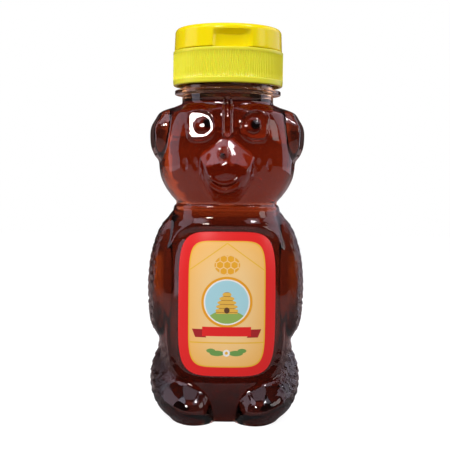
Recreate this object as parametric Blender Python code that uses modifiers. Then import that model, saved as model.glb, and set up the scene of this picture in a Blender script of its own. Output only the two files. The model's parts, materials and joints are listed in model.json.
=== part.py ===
"""Bear-shaped clear squeeze bottle of honey with a ribbed flip-top cap.

Metres, +Z up. The origin is on the base at the middle of the part's box in plan.
The bear faces -Y. The body, the neck and the cap share one upright axis, axis_y behind
the origin, because the muzzle and the feet reach further forward than the back does.
"""

import math

import bmesh
import bpy
import numpy as np
from mathutils import Matrix, Vector

MM = 0.001
MERGE = 0.0001

# Bear body, as seen from the front
bear_height = 118.0 * MM
body_width = 51.2 * MM
arm_span = 59.2 * MM
leg_span = 56.8 * MM
collar_width = 38.2 * MM
head_width = 51.6 * MM
ear_span = 59.0 * MM

# Bear body, as seen from the side, measured from the bottle's axis
belly_reach = 22.0 * MM
back_reach = 20.5 * MM
foot_reach = 29.0 * MM
leg_parting = 12.0 * MM
toe_round = 9.0 * MM
face_reach = 20.5 * MM
nape_reach = 20.0 * MM
muzzle_rise = 6.2 * MM

# Blown wall and base
wall = 0.5 * MM
floor_wall = 0.9 * MM
base_push_up = 1.6 * MM
crease_round = 1.3 * MM
panel_depth = 0.8 * MM
panel_half_width = 20.6 * MM

# Neck finish, 38 mm with a 400 thread that the looks script draws
thread_radius = 18.8 * MM
thread_depth = 1.2 * MM
neck_wall = 1.8 * MM
finish_height = 12.1 * MM
root_step = 0.4 * MM
root_height = 2.8 * MM
ring_radius = 20.0 * MM
ring_height = 1.5 * MM
ring_chamfer = 0.3 * MM

# Fill, seal and the gap that touching pieces keep
gap = 0.3 * MM
honey_below_ring_top = 1.0 * MM
seal_thickness = 0.6 * MM

# Cap base
thread_clearance = 0.35 * MM
skirt_wall = 1.6 * MM
skirt_above_ring = 1.7 * MM
deck_thickness = 1.2 * MM
neck_clearance = 0.4 * MM
rib_depth = 0.3 * MM
rib_count = 150
foot_band_height = 1.9 * MM
top_band_height = 1.1 * MM
spout_radius = 4.6 * MM
spout_height = 3.4 * MM
spout_taper = 0.8 * MM
orifice_radius = 3.0 * MM

# Flip lid
lid_height = 8.4 * MM
lid_wall = 1.3 * MM
lid_set_back = 0.45 * MM
lid_edge_round = 1.9 * MM
lid_draft = 0.25 * MM
pin_clearance = 0.15 * MM
pin_wall = 0.8 * MM
pin_depth = 2.6 * MM
thumb_half_width = 7.1 * MM
thumb_depth = 2.8 * MM
thumb_lip = 2.4 * MM

# Film hinge at the back
hinge_flat_inset = 1.4 * MM
film_thickness = 0.45 * MM
film_half_width = 6.2 * MM
film_half_height = 1.4 * MM
hinge_pocket_depth = 2.0 * MM

# Label
label_half_width = 17.6 * MM
label_thickness = 0.15 * MM
label_clearance = 0.45 * MM
label_shift = 0.5 * MM

# Fineness of the lofts and turnings
columns = 50
front_crowding = 0.45
turn_steps = 48
small_turn_steps = 24
label_rows = 13
label_columns = 11

# Heights on the bear, as shares of bear_height
collar_level_share = 0.674
panel_middle_share = 0.368
panel_half_share = 0.2365
label_middle_share = 0.371
label_half_share = 0.222
label_end_share = 0.985
panel_power = 5
lobe_power = 2.4
torso_power = 2.35
leg_power = 2.6
head_power = 2.3
muzzle_power = 4.0
ridge_power = 1.7
round_power = 2.0

# Derived heights and radii
neck_radius = thread_radius - thread_depth
bore_radius = neck_radius - neck_wall
root_radius = neck_radius - root_step
ring_bottom = bear_height + root_height
ring_top = ring_bottom + ring_height
rim_level = ring_top + finish_height
seal_bottom = rim_level + gap
seal_top = seal_bottom + seal_thickness
deck_bottom = seal_top + gap
deck_top = deck_bottom + deck_thickness
skirt_bottom = ring_top + skirt_above_ring
skirt_bore = thread_radius + thread_clearance
skirt_radius = skirt_bore + skirt_wall
lid_bottom = deck_top + gap
lid_radius = skirt_radius - lid_set_back
lid_top = lid_bottom + lid_height
honey_level = ring_top - honey_below_ring_top
hinge_flat = lid_radius - hinge_flat_inset
film_front = hinge_flat + gap
hinge_axis_y = film_front + film_thickness / 2
hinge_axis_z = deck_top + gap / 2
hinge_pocket_bottom = hinge_axis_z - hinge_pocket_depth
shoulder_bottom = hinge_pocket_bottom - skirt_wall / 2
shoulder_radius = neck_radius + neck_clearance


def smooth_step(low, high, value):
    """0 below low, 1 above high and the cubic 3t^2 - 2t^3 between."""
    t = np.clip((value - low) / (high - low), 0.0, 1.0)
    return t * t * (3.0 - 2.0 * t)


def soft_max(first, second, blend):
    """The larger of two values, with the corner between them rounded over blend."""
    return (first + second + np.sqrt((first - second) ** 2 + blend * blend)) / 2


def through(stations, at):
    """A smooth curve through (place, value) stations, with no overshoot between them."""
    place, value = np.array(stations, float).T
    step = np.diff(place)
    slope = np.diff(value) / step
    tangent = np.zeros_like(value)
    same_way = slope[1:] * slope[:-1] > 0
    mean = 2 * slope[1:] * slope[:-1] / np.where(same_way, slope[1:] + slope[:-1], 1.0)
    tangent[1:-1] = np.where(same_way, mean, 0.0)
    tangent[0] = slope[0]
    tangent[-1] = slope[-1]
    at = np.clip(at, place[0], place[-1])
    i = np.clip(np.searchsorted(place, at, side="right") - 1, 0, len(step) - 1)
    t = (at - place[i]) / step[i]
    rise = (1 + 2 * t) * (1 - t) ** 2 * value[i] + t * t * (3 - 2 * t) * value[i + 1]
    lean = t * (1 - t) ** 2 * tangent[i] - t * t * (1 - t) * tangent[i + 1]
    return rise + lean * step[i]


def oval(angle, half_width, front, back, power):
    """Distance from the axis to a rounded oval, in the direction angle from the front."""
    reach = np.where(np.cos(angle) > 0, front, back)
    across = np.abs(np.sin(angle) / half_width) ** power
    along = np.abs(np.cos(angle) / reach) ** power
    return (across + along) ** (-1.0 / power)


# Each station is a share of bear_height, then shares of the named widths and reaches.
# The torso's columns are half-width, belly and back.
torso_shares = (
    (0.000, 0.60, 0.73, 0.80),
    (0.020, 0.72, 0.82, 0.90),
    (0.060, 0.84, 0.92, 0.98),
    (0.130, 0.93, 0.98, 1.02),
    (0.230, 0.985, 1.00, 1.02),
    (0.330, 1.00, 1.00, 1.00),
    (0.450, 0.98, 0.99, 0.98),
    (0.540, 0.93, 0.95, 0.94),
    (0.600, 0.86, 0.89, 0.88),
    (0.640, 0.80, 0.82, 0.83),
    (0.674, 0.745, 0.77, 0.80),
)
# The legs' columns are outer side as a share of leg_span, then reach to the front and
# to the back as shares of foot_reach.
leg_shares = (
    (0.000, 0.700, 0.92, 0.52),
    (0.008, 0.755, 0.96, 0.56),
    (0.022, 0.830, 1.00, 0.60),
    (0.045, 0.912, 1.00, 0.63),
    (0.070, 0.965, 0.95, 0.64),
    (0.095, 0.992, 0.84, 0.64),
    (0.120, 1.000, 0.71, 0.63),
    (0.150, 0.992, 0.58, 0.60),
    (0.175, 0.965, 0.48, 0.56),
    (0.195, 0.930, 0.41, 0.50),
    (0.215, 0.885, 0.34, 0.42),
    (0.240, 0.800, 0.26, 0.32),
    (0.300, 0.500, 0.10, 0.10),
)
# The arms' outline seen from the front, as shares of arm_span.
arm_shares = (
    (0.252, 0.845),
    (0.264, 0.890),
    (0.280, 0.940),
    (0.300, 0.970),
    (0.330, 0.988),
    (0.380, 1.000),
    (0.430, 1.000),
    (0.500, 0.976),
    (0.540, 0.942),
    (0.590, 0.875),
    (0.616, 0.814),
    (0.642, 0.725),
    (0.660, 0.672),
    (0.674, 0.645),
)
# The head's columns are half-width, face and nape.
head_shares = (
    (0.674, 0.74, 0.80, 0.82),
    (0.700, 0.815, 0.875, 0.87),
    (0.730, 0.905, 0.95, 0.93),
    (0.765, 0.975, 0.99, 0.98),
    (0.810, 1.000, 1.00, 1.00),
    (0.860, 0.990, 1.00, 1.00),
    (0.920, 0.945, 0.98, 0.97),
    (0.960, 0.880, 0.93, 0.92),
    (0.985, 0.790, 0.88, 0.88),
    (1.000, 0.665, 0.84, 0.86),
)
# The ears' outline seen from the front, as shares of ear_span.
ear_shares = (
    (0.800, 0.870),
    (0.824, 0.915),
    (0.836, 0.949),
    (0.849, 0.973),
    (0.868, 0.994),
    (0.894, 1.000),
    (0.914, 0.997),
    (0.927, 0.980),
    (0.940, 0.949),
    (0.953, 0.908),
    (0.966, 0.858),
    (0.979, 0.786),
    (0.992, 0.690),
    (1.000, 0.600),
)
# The muzzle's half-width as a share of the head's, and its rise.
muzzle_shares = (
    (0.674, 0.20, 0.00),
    (0.690, 0.24, 0.22),
    (0.710, 0.29, 0.52),
    (0.746, 0.345, 0.86),
    (0.780, 0.375, 0.97),
    (0.812, 0.375, 1.00),
    (0.832, 0.345, 0.92),
    (0.845, 0.28, 0.74),
    (0.864, 0.17, 0.46),
    (0.880, 0.10, 0.24),
    (0.900, 0.07, 0.06),
    (0.920, 0.07, 0.00),
)
# Places and sizes on the face: heights as shares of bear_height, and the rest as
# shares of the head's half-width.
muzzle_top_share = 0.86
eye_level_share = 0.913
eye_side_share = 0.335
eye_round_share = 0.165
eye_ball_share = 0.045
eye_socket_share = 0.03
brow_share = 0.014
brow_groove_share = 0.022
brow_groove_level_share = 0.937
nose_level_share = 0.822
nose_width_share = 0.12
nose_height_share = 0.08
nose_rise_share = 0.05
mouth_level_share = 0.728
mouth_lift_share = 0.12
mouth_width_share = 0.25
mouth_groove_share = 0.02
groove_half_share = 0.035
# Directions from the front to the middle of the arms and ears, how far each spreads
# to either side, and the heights between which that spread narrows to nothing.
arm_angle = math.radians(98)
arm_swing = math.radians(12)
arm_half_angle = math.radians(31)
arm_ends_shares = (0.235, 0.72)
ear_angle = math.radians(93)
ear_half_angle = math.radians(27)
ear_ends_shares = (0.795, 1.0)
edge_angle = math.radians(5)
# Where the spacing of the body's rings changes, and how many rings lead up to there.
ring_shares = (
    (0.000, 0),
    (0.025, 2),
    (0.127, 5),
    (0.145, 1),
    (0.235, 3),
    (0.290, 3),
    (0.591, 5),
    (0.610, 1),
    (0.710, 5),
    (1.000, 16),
)
# Heights over which the ears' outline sets in, and where the head turns into the neck.
ear_start_shares = (0.800, 0.830)
neck_start_share = 0.96
# How far below and above the collar the outlines run into its width.
collar_blend_shares = (0.06, 0.03)
# How far inside and outside the panel's edge its step lies, as shares of panel_depth.
panel_step_shares = (-1.5, 0.5)
# The base's rings: how far out, as a share of the standing reach, and how high, as a
# share of base_push_up.
base_shares = ((0.30, 1.0), (0.60, 0.7), (0.80, 0.0))
# Where the inner wall's rings are half as close, where they end, and how wide the
# honey's lowest ring is.
belly_end_share = 0.60
inner_end_share = 0.98
honey_floor_share = 0.5
# How fast the muzzle, the eyes and the brows fall off, and how far out the brows lie.
muzzle_fall = 0.7
eye_ball_fall = 1.4
brow_fall = 6.0
brow_out = 1.5
smile_end_share = 0.8
# How far the label's columns crowd towards its sides, 0 for even spacing.
label_crowding = 0.8
# How far up and down each curve of stations is evened out.
evening_share = 0.012
# How far in the legs' oval lies between the feet, as a share of its reach.
parting_share = 0.5
# The steepest lean of the skin that the wall's thickness is corrected for.
steepest = 2.5
# The step in height share and in angle over which the skin's lean is measured.
probe = 0.002
# Edges that turn by more than this are shaded sharp.
sharp_angle = math.radians(35)


def column_of(shares, index, level):
    """One column of a table of stations, read at the height share level."""
    stations = [(row[0], row[index]) for row in shares]
    spread = evening_share * np.array([-1.0, -0.5, 0.0, 0.5, 1.0])
    return sum(through(stations, level + shift) for shift in spread) / len(spread)


def panel_dip(across, level):
    """1 inside the label panel's bulged rectangle and 0 outside, over a short step."""
    up = (level - panel_middle_share) / panel_half_share
    out = (np.abs(across / panel_half_width) ** panel_power + np.abs(up) ** panel_power)
    beyond = (out ** (1 / panel_power) - 1.0) * panel_half_width
    inside, outside = panel_step_shares
    return 1.0 - smooth_step(inside * panel_depth, outside * panel_depth, beyond)


def lobe(side, middle, half, ends, level):
    """1 inside a rounded patch of the skin and 0 outside, with a soft edge.

    Its half-width follows (1 - |t|^n)^(1/n), where t runs from -1 to 1 between its ends.
    """
    t = np.clip((2 * level - ends[0] - ends[1]) / (ends[1] - ends[0]), -1.0, 1.0)
    spread = half * (1.0 - np.abs(t) ** lobe_power) ** (1.0 / lobe_power)
    away = np.abs(side - middle)
    return 1.0 - smooth_step(spread - edge_angle, spread + edge_angle, away)


def leg_reach(side, level):
    """Distance from the axis to the legs, an oval that parts at the front into two feet."""
    outer = leg_span / 2 * column_of(leg_shares, 1, level)
    front = foot_reach * column_of(leg_shares, 2, level)
    back = foot_reach * column_of(leg_shares, 3, level)
    reach = oval(side, outer, front, back, leg_power)
    into = (np.sin(side) * reach - leg_parting / 2) / toe_round
    into = np.clip(np.where(np.cos(side) > 0, into, 1.0), 0.0, 1.0)
    rounded = np.sqrt(into * (2.0 - into))
    return reach * (parting_share + (1.0 - parting_share) * rounded)


def torso_reach(angle, level):
    """Distance from the axis to the torso, arms and legs, between base and collar."""
    side = np.abs(angle)
    half = body_width / 2 * column_of(torso_shares, 1, level)
    front = belly_reach * column_of(torso_shares, 2, level)
    back = back_reach * column_of(torso_shares, 3, level)
    collar_start = collar_level_share - collar_blend_shares[0]
    collar = smooth_step(collar_start, collar_level_share, level)
    half = half + (collar_width / 2 - half) * collar
    torso = oval(angle, half, front, back, torso_power)
    facing = np.abs(np.sin(angle)) * torso
    torso = torso - panel_depth * panel_dip(facing, level)
    arm_step = arm_span / 2 * column_of(arm_shares, 1, level) - half
    bend = arm_swing * (1.0 - smooth_step(arm_ends_shares[0], arm_ends_shares[1], level))
    middle = arm_angle - bend
    torso = torso + arm_step * lobe(side, middle, arm_half_angle, arm_ends_shares, level)
    return soft_max(torso, leg_reach(side, level), crease_round)


def face_relief(angle, level):
    """How far muzzle, nose, eyes and brows stand out of the head, in metres."""
    half = head_width / 2
    across = np.sin(angle)
    up = level * bear_height / half
    muzzle = column_of(muzzle_shares, 2, level) * muzzle_rise / half
    roof = smooth_step(nose_level_share - nose_height_share, muzzle_top_share, level)
    bulge = muzzle_power + (ridge_power - muzzle_power) * roof
    beside = np.abs(across / column_of(muzzle_shares, 1, level)) ** bulge
    muzzle = muzzle * np.exp(-muzzle_fall * beside)
    nose_up = (up - nose_level_share * bear_height / half) / nose_height_share
    nose = nose_rise_share * np.exp(-((across / nose_width_share) ** 2 + nose_up**2) ** 2)
    along = np.abs(across) / mouth_width_share
    smile = mouth_level_share * bear_height / half + mouth_lift_share * along**2
    mouth = mouth_groove_share * np.exp(-(((up - smile) / groove_half_share) ** 2))
    mouth = mouth * (1.0 - smooth_step(smile_end_share, 1.0, along))
    eye_up = up - eye_level_share * bear_height / half
    away = np.hypot(np.abs(across) - eye_side_share, eye_up) / eye_round_share
    eye = eye_ball_share * np.exp(-((away * eye_ball_fall) ** 4))
    eye = eye - eye_socket_share * np.exp(-(away**4))
    above = smooth_step(0.0, eye_round_share, eye_up)
    brow = brow_share * np.exp(-((away - brow_out) ** 2) * brow_fall) * above
    groove_up = (up - brow_groove_level_share * bear_height / half) / eye_round_share
    groove = np.exp(-((across / groove_half_share) ** 2) - groove_up**4)
    return (muzzle + nose - mouth + eye + brow - brow_groove_share * groove) * half


def head_reach(angle, level):
    """Distance from the axis to the head, ears and face, between collar and neck."""
    side = np.abs(angle)
    half = head_width / 2 * column_of(head_shares, 1, level)
    front = face_reach * column_of(head_shares, 2, level)
    back = nape_reach * column_of(head_shares, 3, level)
    collar_end = collar_level_share + collar_blend_shares[1]
    collar = 1.0 - smooth_step(collar_level_share, collar_end, level)
    half = half + (collar_width / 2 - half) * collar
    top = smooth_step(neck_start_share, 1.0, level)
    half = half + (root_radius - half) * top
    front = front + (root_radius - front) * top
    back = back + (root_radius - back) * top
    head = oval(angle, half, front, back, head_power + (round_power - head_power) * top)
    ear_step = ear_span / 2 * column_of(ear_shares, 1, level) - half
    ear_step = ear_step * (1.0 - top) * smooth_step(*ear_start_shares, level)
    head = head + ear_step * lobe(side, ear_angle, ear_half_angle, ear_ends_shares, level)
    return head + face_relief(angle, level) * (np.cos(angle) > 0)


def bear_reach(angle, level):
    """Distance from the bottle's axis to the bear's skin, for angle and height share."""
    below = torso_reach(angle, level)
    above = head_reach(angle, level)
    return np.where(level < collar_level_share, below, above)


def column_angles(count):
    """Directions round the axis, closer together at the front than at the back."""
    even = np.linspace(-math.pi, math.pi, count, endpoint=False) + math.pi / count
    return even - front_crowding * np.sin(even)


def row_levels():
    """Height shares of the body's rings, close at the foot and on the face."""
    levels = [ring_shares[0][0]]
    for (low, _), (high, count) in zip(ring_shares, ring_shares[1:]):
        levels.extend(np.linspace(low, high, count + 1)[1:])
    return np.array(levels)


def ring_points(reach, angle, height):
    """The points of one ring about the bottle's axis, front first and anticlockwise."""
    x = reach * np.sin(angle)
    y = -reach * np.cos(angle) + axis_y
    return np.stack([x, y, np.full_like(x, height)], axis=1)


def softened(rings):
    """The smallest reach of each ring and its two neighbours, above and below."""
    padded = np.concatenate([rings[:1], rings, rings[-1:]])
    return np.minimum(np.minimum(padded[:-2], padded[1:-1]), padded[2:])


def loft(name, rings, material):
    """One closed skin through the rings in order, with a fan of faces at each end."""
    count = len(rings[0])
    points = [tuple(p) for ring in rings for p in ring]
    total = len(points)
    last = total - count
    points.append(tuple(np.mean(rings[0], axis=0)))
    points.append(tuple(np.mean(rings[-1], axis=0)))
    faces = []
    for i in range(count):
        after = (i + 1) % count
        for row in range(0, last, count):
            faces.append((row + i, row + after, row + after + count, row + i + count))
        faces.append((total, after, i))
        faces.append((total + 1, last + i, last + after))
    mesh = bpy.data.meshes.new(name)
    mesh.from_pydata(points, [], faces)
    mesh.update()
    return finished(name, mesh, material)


def finished(name, mesh, material, smooth=True):
    """Puts a mesh in the part's collection as one named object with its material."""
    for polygon in mesh.polygons:
        polygon.use_smooth = smooth
    mesh.set_sharp_from_angle(angle=sharp_angle)
    obj = bpy.data.objects.new(name, mesh)
    mesh.materials.clear()
    mesh.materials.append(material)
    part_collection.objects.link(obj)
    return obj


def plain_material(name, colour, roughness, metallic=0.0, transmission=0.0, ior=1.5):
    material = bpy.data.materials.new(name)
    material.use_nodes = True
    shader = material.node_tree.nodes["Principled BSDF"]
    shader.inputs["Base Color"].default_value = (*colour, 1.0)
    shader.inputs["Roughness"].default_value = roughness
    shader.inputs["Metallic"].default_value = metallic
    shader.inputs["Transmission Weight"].default_value = transmission
    shader.inputs["IOR"].default_value = ior
    return material


def turned(name, profile, steps, material=None):
    """A closed profile of (radius, height) turned about the bottle's axis.

    The profile runs down its outer side and back up its inner side.
    """
    mesh = bpy.data.meshes.new(name)
    corners = [(radius, 0.0, height) for radius, height in profile]
    edges = [(i, (i + 1) % len(corners)) for i in range(len(corners))]
    if profile[0][0] == 0 and profile[-1][0] == 0:
        edges.pop()
    mesh.from_pydata(corners, edges, [])
    obj = bpy.data.objects.new(name, mesh)
    obj.location = (0.0, axis_y, 0.0)
    screw = obj.modifiers.new("turn", "SCREW")
    screw.axis = "Z"
    screw.steps = steps
    screw.render_steps = steps
    screw.use_merge_vertices = True
    screw.merge_threshold = MERGE
    if material is None:
        cutter_collection.objects.link(obj)
        obj.hide_render = True
        obj.display_type = "WIRE"
    else:
        mesh.materials.append(material)
        part_collection.objects.link(obj)
    return obj


def cutter(name, mesh, place=(0.0, 0.0, 0.0)):
    """A guide shape that a Boolean uses and the part doesn't show."""
    obj = bpy.data.objects.new(name, mesh)
    obj.location = place
    obj.hide_render = True
    obj.display_type = "WIRE"
    cutter_collection.objects.link(obj)
    return obj


def box_cutter(name, low, high):
    mesh = bpy.data.meshes.new(name)
    bm = bmesh.new()
    bmesh.ops.create_cube(bm, size=1.0)
    size = Vector(high) - Vector(low)
    middle = (Vector(high) + Vector(low)) / 2
    grow = Matrix.Translation(middle) @ Matrix.Diagonal((*size, 1.0))
    bmesh.ops.transform(bm, matrix=grow, verts=bm.verts)
    bm.to_mesh(mesh)
    bm.free()
    return cutter(name, mesh)


def combine(obj, other, operation):
    boolean = obj.modifiers.new(other.name, "BOOLEAN")
    boolean.operation = operation
    boolean.object = other
    boolean.solver = "EXACT"


def outer_rings(angle):
    """The bottle's outer skin from the base's push-up to the rim, as rings."""
    levels = row_levels()
    reaches = np.array([bear_reach(angle, np.full_like(angle, s)) for s in levels])
    round_base = np.full_like(angle, reaches[0].min())
    rings = [ring_points(round_base * out, angle, base_push_up * up) for out, up in base_shares]
    rings += [ring_points(r, angle, s * bear_height) for r, s in zip(reaches, levels)]
    even = np.ones_like(angle)
    chamfer = ring_chamfer
    neck = [
        (root_radius, ring_bottom),
        (ring_radius - chamfer, ring_bottom + chamfer),
        (ring_radius, ring_bottom + 2 * chamfer),
        (ring_radius, ring_top - 2 * chamfer),
        (ring_radius - chamfer, ring_top - chamfer),
        (neck_radius, ring_top),
        (neck_radius, rim_level - 2 * chamfer),
        (neck_radius - chamfer, rim_level),
    ]
    rings += [ring_points(even * r, angle, z) for r, z in neck]
    return rings


def inset_reach(angle, level, depth):
    """The reach of the surface that lies depth inside the skin, square to the skin."""
    reach = bear_reach(angle, level)
    rise = bear_reach(angle, level + probe) - bear_reach(angle, level - probe)
    rise = rise / (2 * probe * bear_height)
    swing = bear_reach(angle + probe, level) - bear_reach(angle - probe, level)
    swing = swing / (2 * probe * reach)
    lean = np.sqrt(1.0 + rise**2 + swing**2)
    return reach - depth * np.minimum(lean, steepest)


def inner_levels():
    """Height shares of the inner wall's rings, fewer than the skin's on the belly."""
    levels = row_levels()
    belly = (levels > panel_middle_share - panel_half_share) & (levels < belly_end_share)
    spare = belly & (np.arange(len(levels)) % 2 == 0)
    room = (levels * bear_height > floor_wall + base_push_up) & (levels < inner_end_share)
    return levels[room & ~spare]


def make_bottle(material):
    """The blown bear with its moulded neck, one skin from push-up to rim and back."""
    angle = column_angles(columns)
    rings = outer_rings(angle)
    even = np.ones_like(angle)
    rings.append(ring_points(even * bore_radius, angle, rim_level))
    rings.append(ring_points(even * bore_radius, angle, bear_height))
    for level in inner_levels()[::-1]:
        reach = inset_reach(angle, np.full_like(angle, level), wall)
        rings.append(ring_points(reach, angle, level * bear_height))
    standing = bear_reach(angle, np.zeros_like(angle))
    round_base = np.full_like(angle, standing.min())
    rings.append(ring_points(standing - 2 * wall, angle, floor_wall))
    for out, up in base_shares[::-1]:
        rings.append(ring_points(round_base * out, angle, floor_wall + base_push_up * up))
    return loft("bottle", rings, material)


def make_honey(material):
    """The fill: the inside of the bottle less the gap, up to its level in the neck."""
    angle = column_angles(columns)
    even = np.ones(columns // 2)
    low = floor_wall + base_push_up + gap
    inside = [inset_reach(angle, np.full_like(angle, s), wall + gap) for s in inner_levels()]
    fill = softened(np.array(inside))
    fill = np.minimum(fill, np.minimum(np.roll(fill, 1, 1), np.roll(fill, -1, 1)))
    angle = angle[::2]
    rings = [ring_points(fill[0, ::2] * honey_floor_share, angle, low)]
    for reach, level in zip(fill[::2, ::2], inner_levels()[::2]):
        rings.append(ring_points(reach, angle, max(level * bear_height, low)))
    neck = bore_radius - gap
    rings.append(ring_points(even * (neck - gap), angle, bear_height))
    rings.append(ring_points(even * neck, angle, honey_level))
    return loft("honey", rings, material)


def label_grid():
    """Points of the label seen from the front, as across and height arrays.

    Rows follow a bulged rectangle, |x|^n + |z|^n = 1, closer together at top and bottom.
    """
    up = label_end_share * np.sin(np.linspace(-math.pi / 2, math.pi / 2, label_rows))
    over = np.sin(np.linspace(-math.pi / 2, math.pi / 2, label_columns) * label_crowding)
    over = over / over[-1]
    width = label_half_width * (1.0 - np.abs(up) ** panel_power) ** (1.0 / panel_power)
    across = label_shift + width[:, None] * over[None, :]
    level = label_middle_share + label_half_share * np.repeat(up[:, None], label_columns, 1)
    return across, level


def make_label(material):
    """The front label: a thin sheet wrapped on the belly, inside the panel."""
    across, level = label_grid()
    angle = np.arcsin(across / belly_reach)
    for _ in range(8):
        angle = np.arcsin(across / bear_reach(angle, level))
    skins = []
    for clear in (label_clearance + label_thickness, label_clearance):
        reach = bear_reach(angle, level) + clear
        y = -reach * np.cos(angle) + axis_y
        skin = np.stack([reach * np.sin(angle), y, level * bear_height], axis=2)
        skins.append(skin.reshape(-1, 3))
    rows, wide = across.shape
    count = rows * wide
    quads = [
        (r * wide + c, r * wide + c + 1, (r + 1) * wide + c + 1, (r + 1) * wide + c)
        for r in range(rows - 1)
        for c in range(wide - 1)
    ]
    faces = quads + [tuple(count + i for i in reversed(quad)) for quad in quads]
    edge = list(range(wide)) + [r * wide + wide - 1 for r in range(1, rows)]
    edge += [count - 1 - c for c in range(1, wide)] + [r * wide for r in range(rows - 2, 0, -1)]
    after = edge[1:] + edge[:1]
    faces += [(b, a, a + count, b + count) for a, b in zip(edge, after)]
    mesh = bpy.data.meshes.new("front_label")
    mesh.from_pydata([tuple(p) for p in np.concatenate(skins)], [], faces)
    mesh.update()
    return finished("front_label", mesh, material)


def make_seal(material):
    """The disc bonded over the mouth."""
    profile = [
        (0.0, seal_top),
        (neck_radius, seal_top),
        (neck_radius, seal_bottom),
        (0.0, seal_bottom),
    ]
    return turned("inner_seal", profile, turn_steps, material)


def rib_band():
    """The fluted ring round the skirt, one ridge and one valley for each rib."""
    low = skirt_bottom + foot_band_height
    high = deck_top - top_band_height
    mesh = bpy.data.meshes.new("rib_band")
    bm = bmesh.new()
    outer = skirt_radius - gap / 2
    inside = skirt_radius - skirt_wall / 2
    bmesh.ops.create_cone(
        bm, cap_ends=True, segments=2 * rib_count, radius1=outer, radius2=outer, depth=high - low
    )
    for vert in bm.verts:
        turn = math.atan2(vert.co.y, vert.co.x) / (2 * math.pi) * 2 * rib_count
        if round(turn) % 2:
            flat = Vector((vert.co.x, vert.co.y, 0.0)).normalized()
            vert.co -= flat * rib_depth
    bm.to_mesh(mesh)
    bm.free()
    band = cutter("rib_band", mesh, (0.0, axis_y, (low + high) / 2))
    core = turned(
        "rib_band_core",
        [(inside, high + gap), (inside, low - gap), (0.0, low - gap), (0.0, high + gap)],
        turn_steps,
    )
    combine(band, core, "DIFFERENCE")
    return band


def make_cap(material):
    """The skirt, deck and spout, with its fluted band and the hinge's pocket."""
    valley = skirt_radius - gap / 2 - rib_depth - gap / 2
    band_low = skirt_bottom + foot_band_height
    band_high = deck_top - top_band_height
    edge = ring_chamfer
    spout_top = deck_top + spout_height
    profile = [
        (spout_radius - spout_taper, spout_top),
        (spout_radius, deck_top),
        (skirt_radius - edge, deck_top),
        (skirt_radius, deck_top - edge),
        (skirt_radius, band_high),
        (valley, band_high - edge),
        (valley, band_low + edge),
        (skirt_radius, band_low),
        (skirt_radius, skirt_bottom + edge),
        (skirt_radius - edge, skirt_bottom),
        (skirt_bore, skirt_bottom),
        (skirt_bore, shoulder_bottom),
        (shoulder_radius, shoulder_bottom),
        (shoulder_radius, deck_bottom),
        (orifice_radius, deck_bottom),
        (orifice_radius, spout_top),
    ]
    cap = turned("cap_base", profile, turn_steps, material)
    combine(cap, rib_band(), "UNION")
    low = (-film_half_width - gap, axis_y + hinge_flat, hinge_pocket_bottom)
    high = (film_half_width + gap, axis_y + 2 * skirt_radius, lid_top)
    combine(cap, box_cutter("hinge_pocket", low, high), "DIFFERENCE")
    return cap


def thumb_scoop(name, grow, steps):
    """The scoop that makes the thumb recess, an upright drum in front of the lid."""
    radius = (thumb_half_width**2 + thumb_depth**2) / (2 * thumb_depth)
    near = axis_y - lid_radius + thumb_depth - radius
    top = lid_top - thumb_lip + grow
    bottom = lid_bottom - 2 * lid_wall - grow
    mesh = bpy.data.meshes.new(name)
    bm = bmesh.new()
    bmesh.ops.create_cone(
        bm,
        cap_ends=True,
        segments=steps,
        radius1=radius + grow,
        radius2=radius + grow,
        depth=top - bottom,
    )
    half_step = Matrix.Rotation(math.pi / steps, 3, "Z")
    bmesh.ops.rotate(bm, verts=bm.verts, matrix=half_step)
    bm.to_mesh(mesh)
    bm.free()
    return cutter(name, mesh, (0.0, near, (top + bottom) / 2))


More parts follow.
